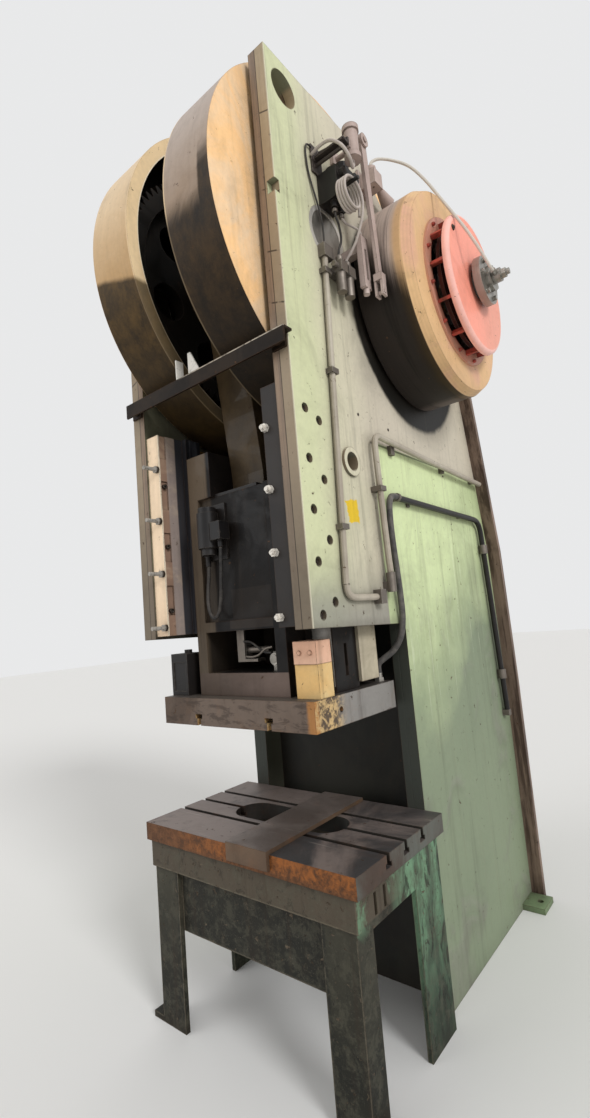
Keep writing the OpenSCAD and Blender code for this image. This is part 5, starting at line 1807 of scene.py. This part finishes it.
@dataclass
class CoilHose(ThinLine):
    """The spring coil of nylon line below the valve, wound round a line along X."""

    name: str = "valve_coil_line"
    chosen: Sequence[Triple] = (
        (666, 380, 3440), (652, 384, 3384), (612, 390, 3310), (574, 392, 3268),
        (553, 392, 3250), (553, 392, 3232.3))
    radius: float = 0.006
    finish: str = "line_grey"
    lay: str = "coiled"
    steps: int = 3
    sides: int = 14
    entry: Sequence[Triple] = (
        (614, 380, 3574.7), (614, 380, 3556), (614, 380, 3520), (614, 380, 3490))
    centre: Triple = (614, 318, 3468)
    coil_radius: float = 62
    pitch: float = 13
    turns: int = 4
    step: int = 20

    def points(self) -> list[Triple]:
        """Gives the points: straight in, round the turns, and out to the fitting.

        Returns:
            The points, in the drawing's millimetres.
        """
        x, y, z = self.centre
        wound = []
        for degrees in range(0, 360 * self.turns + 1, self.step):
            turn = math.radians(degrees + 90)
            wound.append((x + self.pitch * degrees / 360,
                          y + self.coil_radius * math.sin(turn),
                          z + self.coil_radius * math.cos(turn)))
        return [*self.entry, *wound, *self.chosen]


def tubes() -> list[Tube]:
    """Lists the hoses, and then the small pipes of the valve group and the window.

    Returns:
        The hoses and pipes, in the order in which they are made.
    """
    return [
        SlideHose(),
        MotorHose(),
        CoilHose(),
        ThinLine("valve_supply_line", (
            (557, 328, 3459.7), (557, 328, 3451), (557, 328, 3442), (562, 324, 3414),
            (570, 330, 3366), (565, 344, 3312), (555, 336, 3272), (553, 332, 3252),
            (553, 332, 3242), (553, 332, 3232.3)), 0.005, "hose_black"),
        ThinLine("valve_pilot_line", (
            (557, 380, 3459.7), (557, 380, 3451), (557, 380, 3443), (563, 394, 3424),
            (577, 420, 3413), (591, 446, 3404), (598, 460, 3388), (598, 460, 3377),
            (598, 460, 3366.3)), 0.005, "line_grey"),
        ThinLine("valve_cable", (
            (506, 265.7, 3740), (506, 258, 3740), (506, 250, 3740), (505, 234, 3732),
            (504, 226, 3708), (504, 225, 3670), (504, 231, 3610), (505, 248, 3550),
            (508, 268, 3490), (512, 284, 3420), (513, 290, 3360), (513, 290, 3320),
            (513, 290, 3300), (513, 290, 3282.3)), 0.004, "hose_black"),
        Tube("bracket_pipe", (
            (505, 262, 3700), (560, 262, 3712), (610, 262, 3700), (655, 275, 3655),
            (668, 310, 3610), (655, 345, 3600), (652, 362, 3625), (652, 362, 3645.5)),
            0.007, "line_grey"),
        Tube("port_pipe_front", (
            (600, 424, 3590), (604, 426, 3560), (600, 430, 3520), (596, 432, 3480)),
            0.006, "line_grey", sides=12),
        Tube("port_pipe_rear", (
            (600, 456, 3590), (606, 458, 3556), (602, 464, 3516), (598, 466, 3470)),
            0.006, "line_grey", sides=12),
        Tube("window_pipe_low", (
            (-20, 176, 1574), (20, 176, 1572), (60, 174, 1580), (100, 174, 1604),
            (140, 176, 1612)), 0.005, "fitting_steel", body="slide", sides=12),
        Tube("window_pipe_high", (
            (-30, 180, 1640), (10, 178, 1636), (50, 176, 1616), (90, 176, 1592),
            (130, 178, 1586)), 0.005, "hose_black", body="slide", sides=12),
    ]


class Head(Enum):
    """Forms of a fastener's outer end: its corners, its inset by radius and its rise by height."""

    HEX = (6, 0.40, 0.35)
    SOCKET = (20, 0.45, -0.6)
    ROUND = (20, 0.30, 0.20)


class Axis(Enum):
    """Directions that a fastener can point in, as the turn that a piece on Z needs."""

    RIGHT = (0, math.pi / 2, 0)
    FRONT = (math.pi / 2, 0, 0)
    UP = (0, 0, 0)


@dataclass
class Fastener:
    """A screw head or nut that is modelled once and copied to each of its places."""

    name: str
    head: Head
    radius: float
    height: float
    axis: Axis
    places: Sequence[Vector]
    finish: str
    body: str = "frame"
    softness: float = 0.10

    def model(self) -> bpy.types.Object:
        """Models the head at the origin, standing on Z.

        Returns:
            The head, with its edges softened.
        """
        corners, inset, rise = self.head.value
        Workshop.choose()
        bpy.ops.mesh.primitive_cylinder_add(
            vertices=corners, radius=self.radius, depth=self.height,
            location=(0, 0, self.height / 2))
        thing = bpy.context.object
        Workshop.pick(thing, Way.UP)
        bpy.ops.mesh.inset(thickness=self.radius * inset)
        bpy.ops.mesh.extrude_region_move(
            TRANSFORM_OT_translate={"value": (0, 0, self.height * rise)})
        bpy.ops.object.mode_set(mode="OBJECT")
        soft = thing.modifiers.new("soft", "BEVEL")
        soft.width = self.radius * self.softness
        soft.segments, soft.limit_method = 2, "ANGLE"
        return thing

    def build(self, finishes: Finishes) -> bpy.types.Object:
        """Copies the head to its places and joins the copies into one piece.

        Args:
            finishes: The finishes to dress it with.

        Returns:
            The piece.
        """
        first = self.model()
        heads = [first]
        for _ in self.places[1:]:
            twin = first.copy()
            twin.data = first.data.copy()
            bpy.context.scene.collection.objects.link(twin)
            heads.append(twin)
        for head, place in zip(heads, self.places):
            head.location = place
            head.rotation_euler = self.axis.value
        whole = Workshop.join(heads, self.name)
        finishes.dress(whole, self.finish)
        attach(whole, self.body)
        return whole

def round_drive(radius: float, angle: float, x: float) -> Vector:
    """Gives a point on a circle round the drive shaft's line.

    Args:
        radius: The circle's radius.
        angle: Degrees from the rear, upwards.
        x: Distance right of the centre plane.

    Returns:
        The point in the frame.
    """
    turn = math.radians(angle)
    return DATUM.at(x, DATUM.drive_y + radius * math.cos(turn),
                    DATUM.drive_z + radius * math.sin(turn))


def fasteners() -> list[Fastener]:
    """Lists the small screws, studs and nuts that dress the press.

    Returns:
        The fasteners, in the order in which they are made.
    """
    gib_heights = (2.383, 2.098, 1.803)
    stud_circle, studs = 0.338, 12
    bolt_circle, bolt_angle = 0.297, 145
    rivets = ((0.4525, 2.582), (0.712, 2.570))
    line_ends = ((0.614, 0.380, 3.5605), (0.557, 0.328, 3.4455), (0.557, 0.380, 3.4455),
                 (0.598, 0.460, 3.3665), (0.553, 0.392, 3.2325), (0.553, 0.332, 3.2325))
    return [
        Fastener("gib_set_screws", Head.SOCKET, 0.011, 0.016, Axis.RIGHT,
                 [DATUM.at(-0.330, 0.032, z) for z in gib_heights], "screw_black"),
        Fastener("clutch_ring_studs", Head.ROUND, 0.009, 0.022, Axis.RIGHT,
                 [round_drive(stud_circle, 360 / studs * (i + 0.5), DATUM.clutch_ring)
                  for i in range(studs)],
                 "clutch_salmon", "flywheel"),
        Fastener("clutch_cover_bolt", Head.HEX, 0.014, 0.012, Axis.RIGHT,
                 [round_drive(bolt_circle, bolt_angle, DATUM.clutch_end - 0.0005)],
                 "screw_black", "flywheel"),
        Fastener("plate_rivets", Head.ROUND, 0.007, 0.004, Axis.RIGHT,
                 [DATUM.at(DATUM.plate_out, y, z) for y, z in rivets], "screw_black"),
        Fastener("line_nuts", Head.HEX, 0.0125, 0.014, Axis.UP,
                 [DATUM.at(*place) for place in line_ends], "fitting_steel"),
        Fastener("window_knob", Head.ROUND, 0.017, 0.020, Axis.FRONT,
                 [DATUM.at(0.157, 0.176, 1.548)], "stud_pale", "slide"),
    ]


def dress_nodes(finishes: Finishes) -> None:
    """Gives every node of the frame its finish.

    Args:
        finishes: The finishes to dress them with.
    """
    chosen = {node: finish for finish, nodes in FINISH_NODES.items() for node in nodes.split()}
    for node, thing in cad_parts.items():
        finishes.dress(thing, chosen[node])
        log.info("%s wears %s", node, chosen[node])


def main() -> None:
    """Builds the looks of the whole press."""
    logging.basicConfig(level=logging.INFO, format="%(name)s: %(message)s")
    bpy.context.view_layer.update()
    CameraRig().build()
    finishes = Finishes()
    for maker in (*tubes(), *fasteners()):
        piece = maker.build(finishes)
        log.info("made %s", piece.name)
    dress_nodes(finishes)
    Studio().build()


if __name__ == "__main__":
    main()
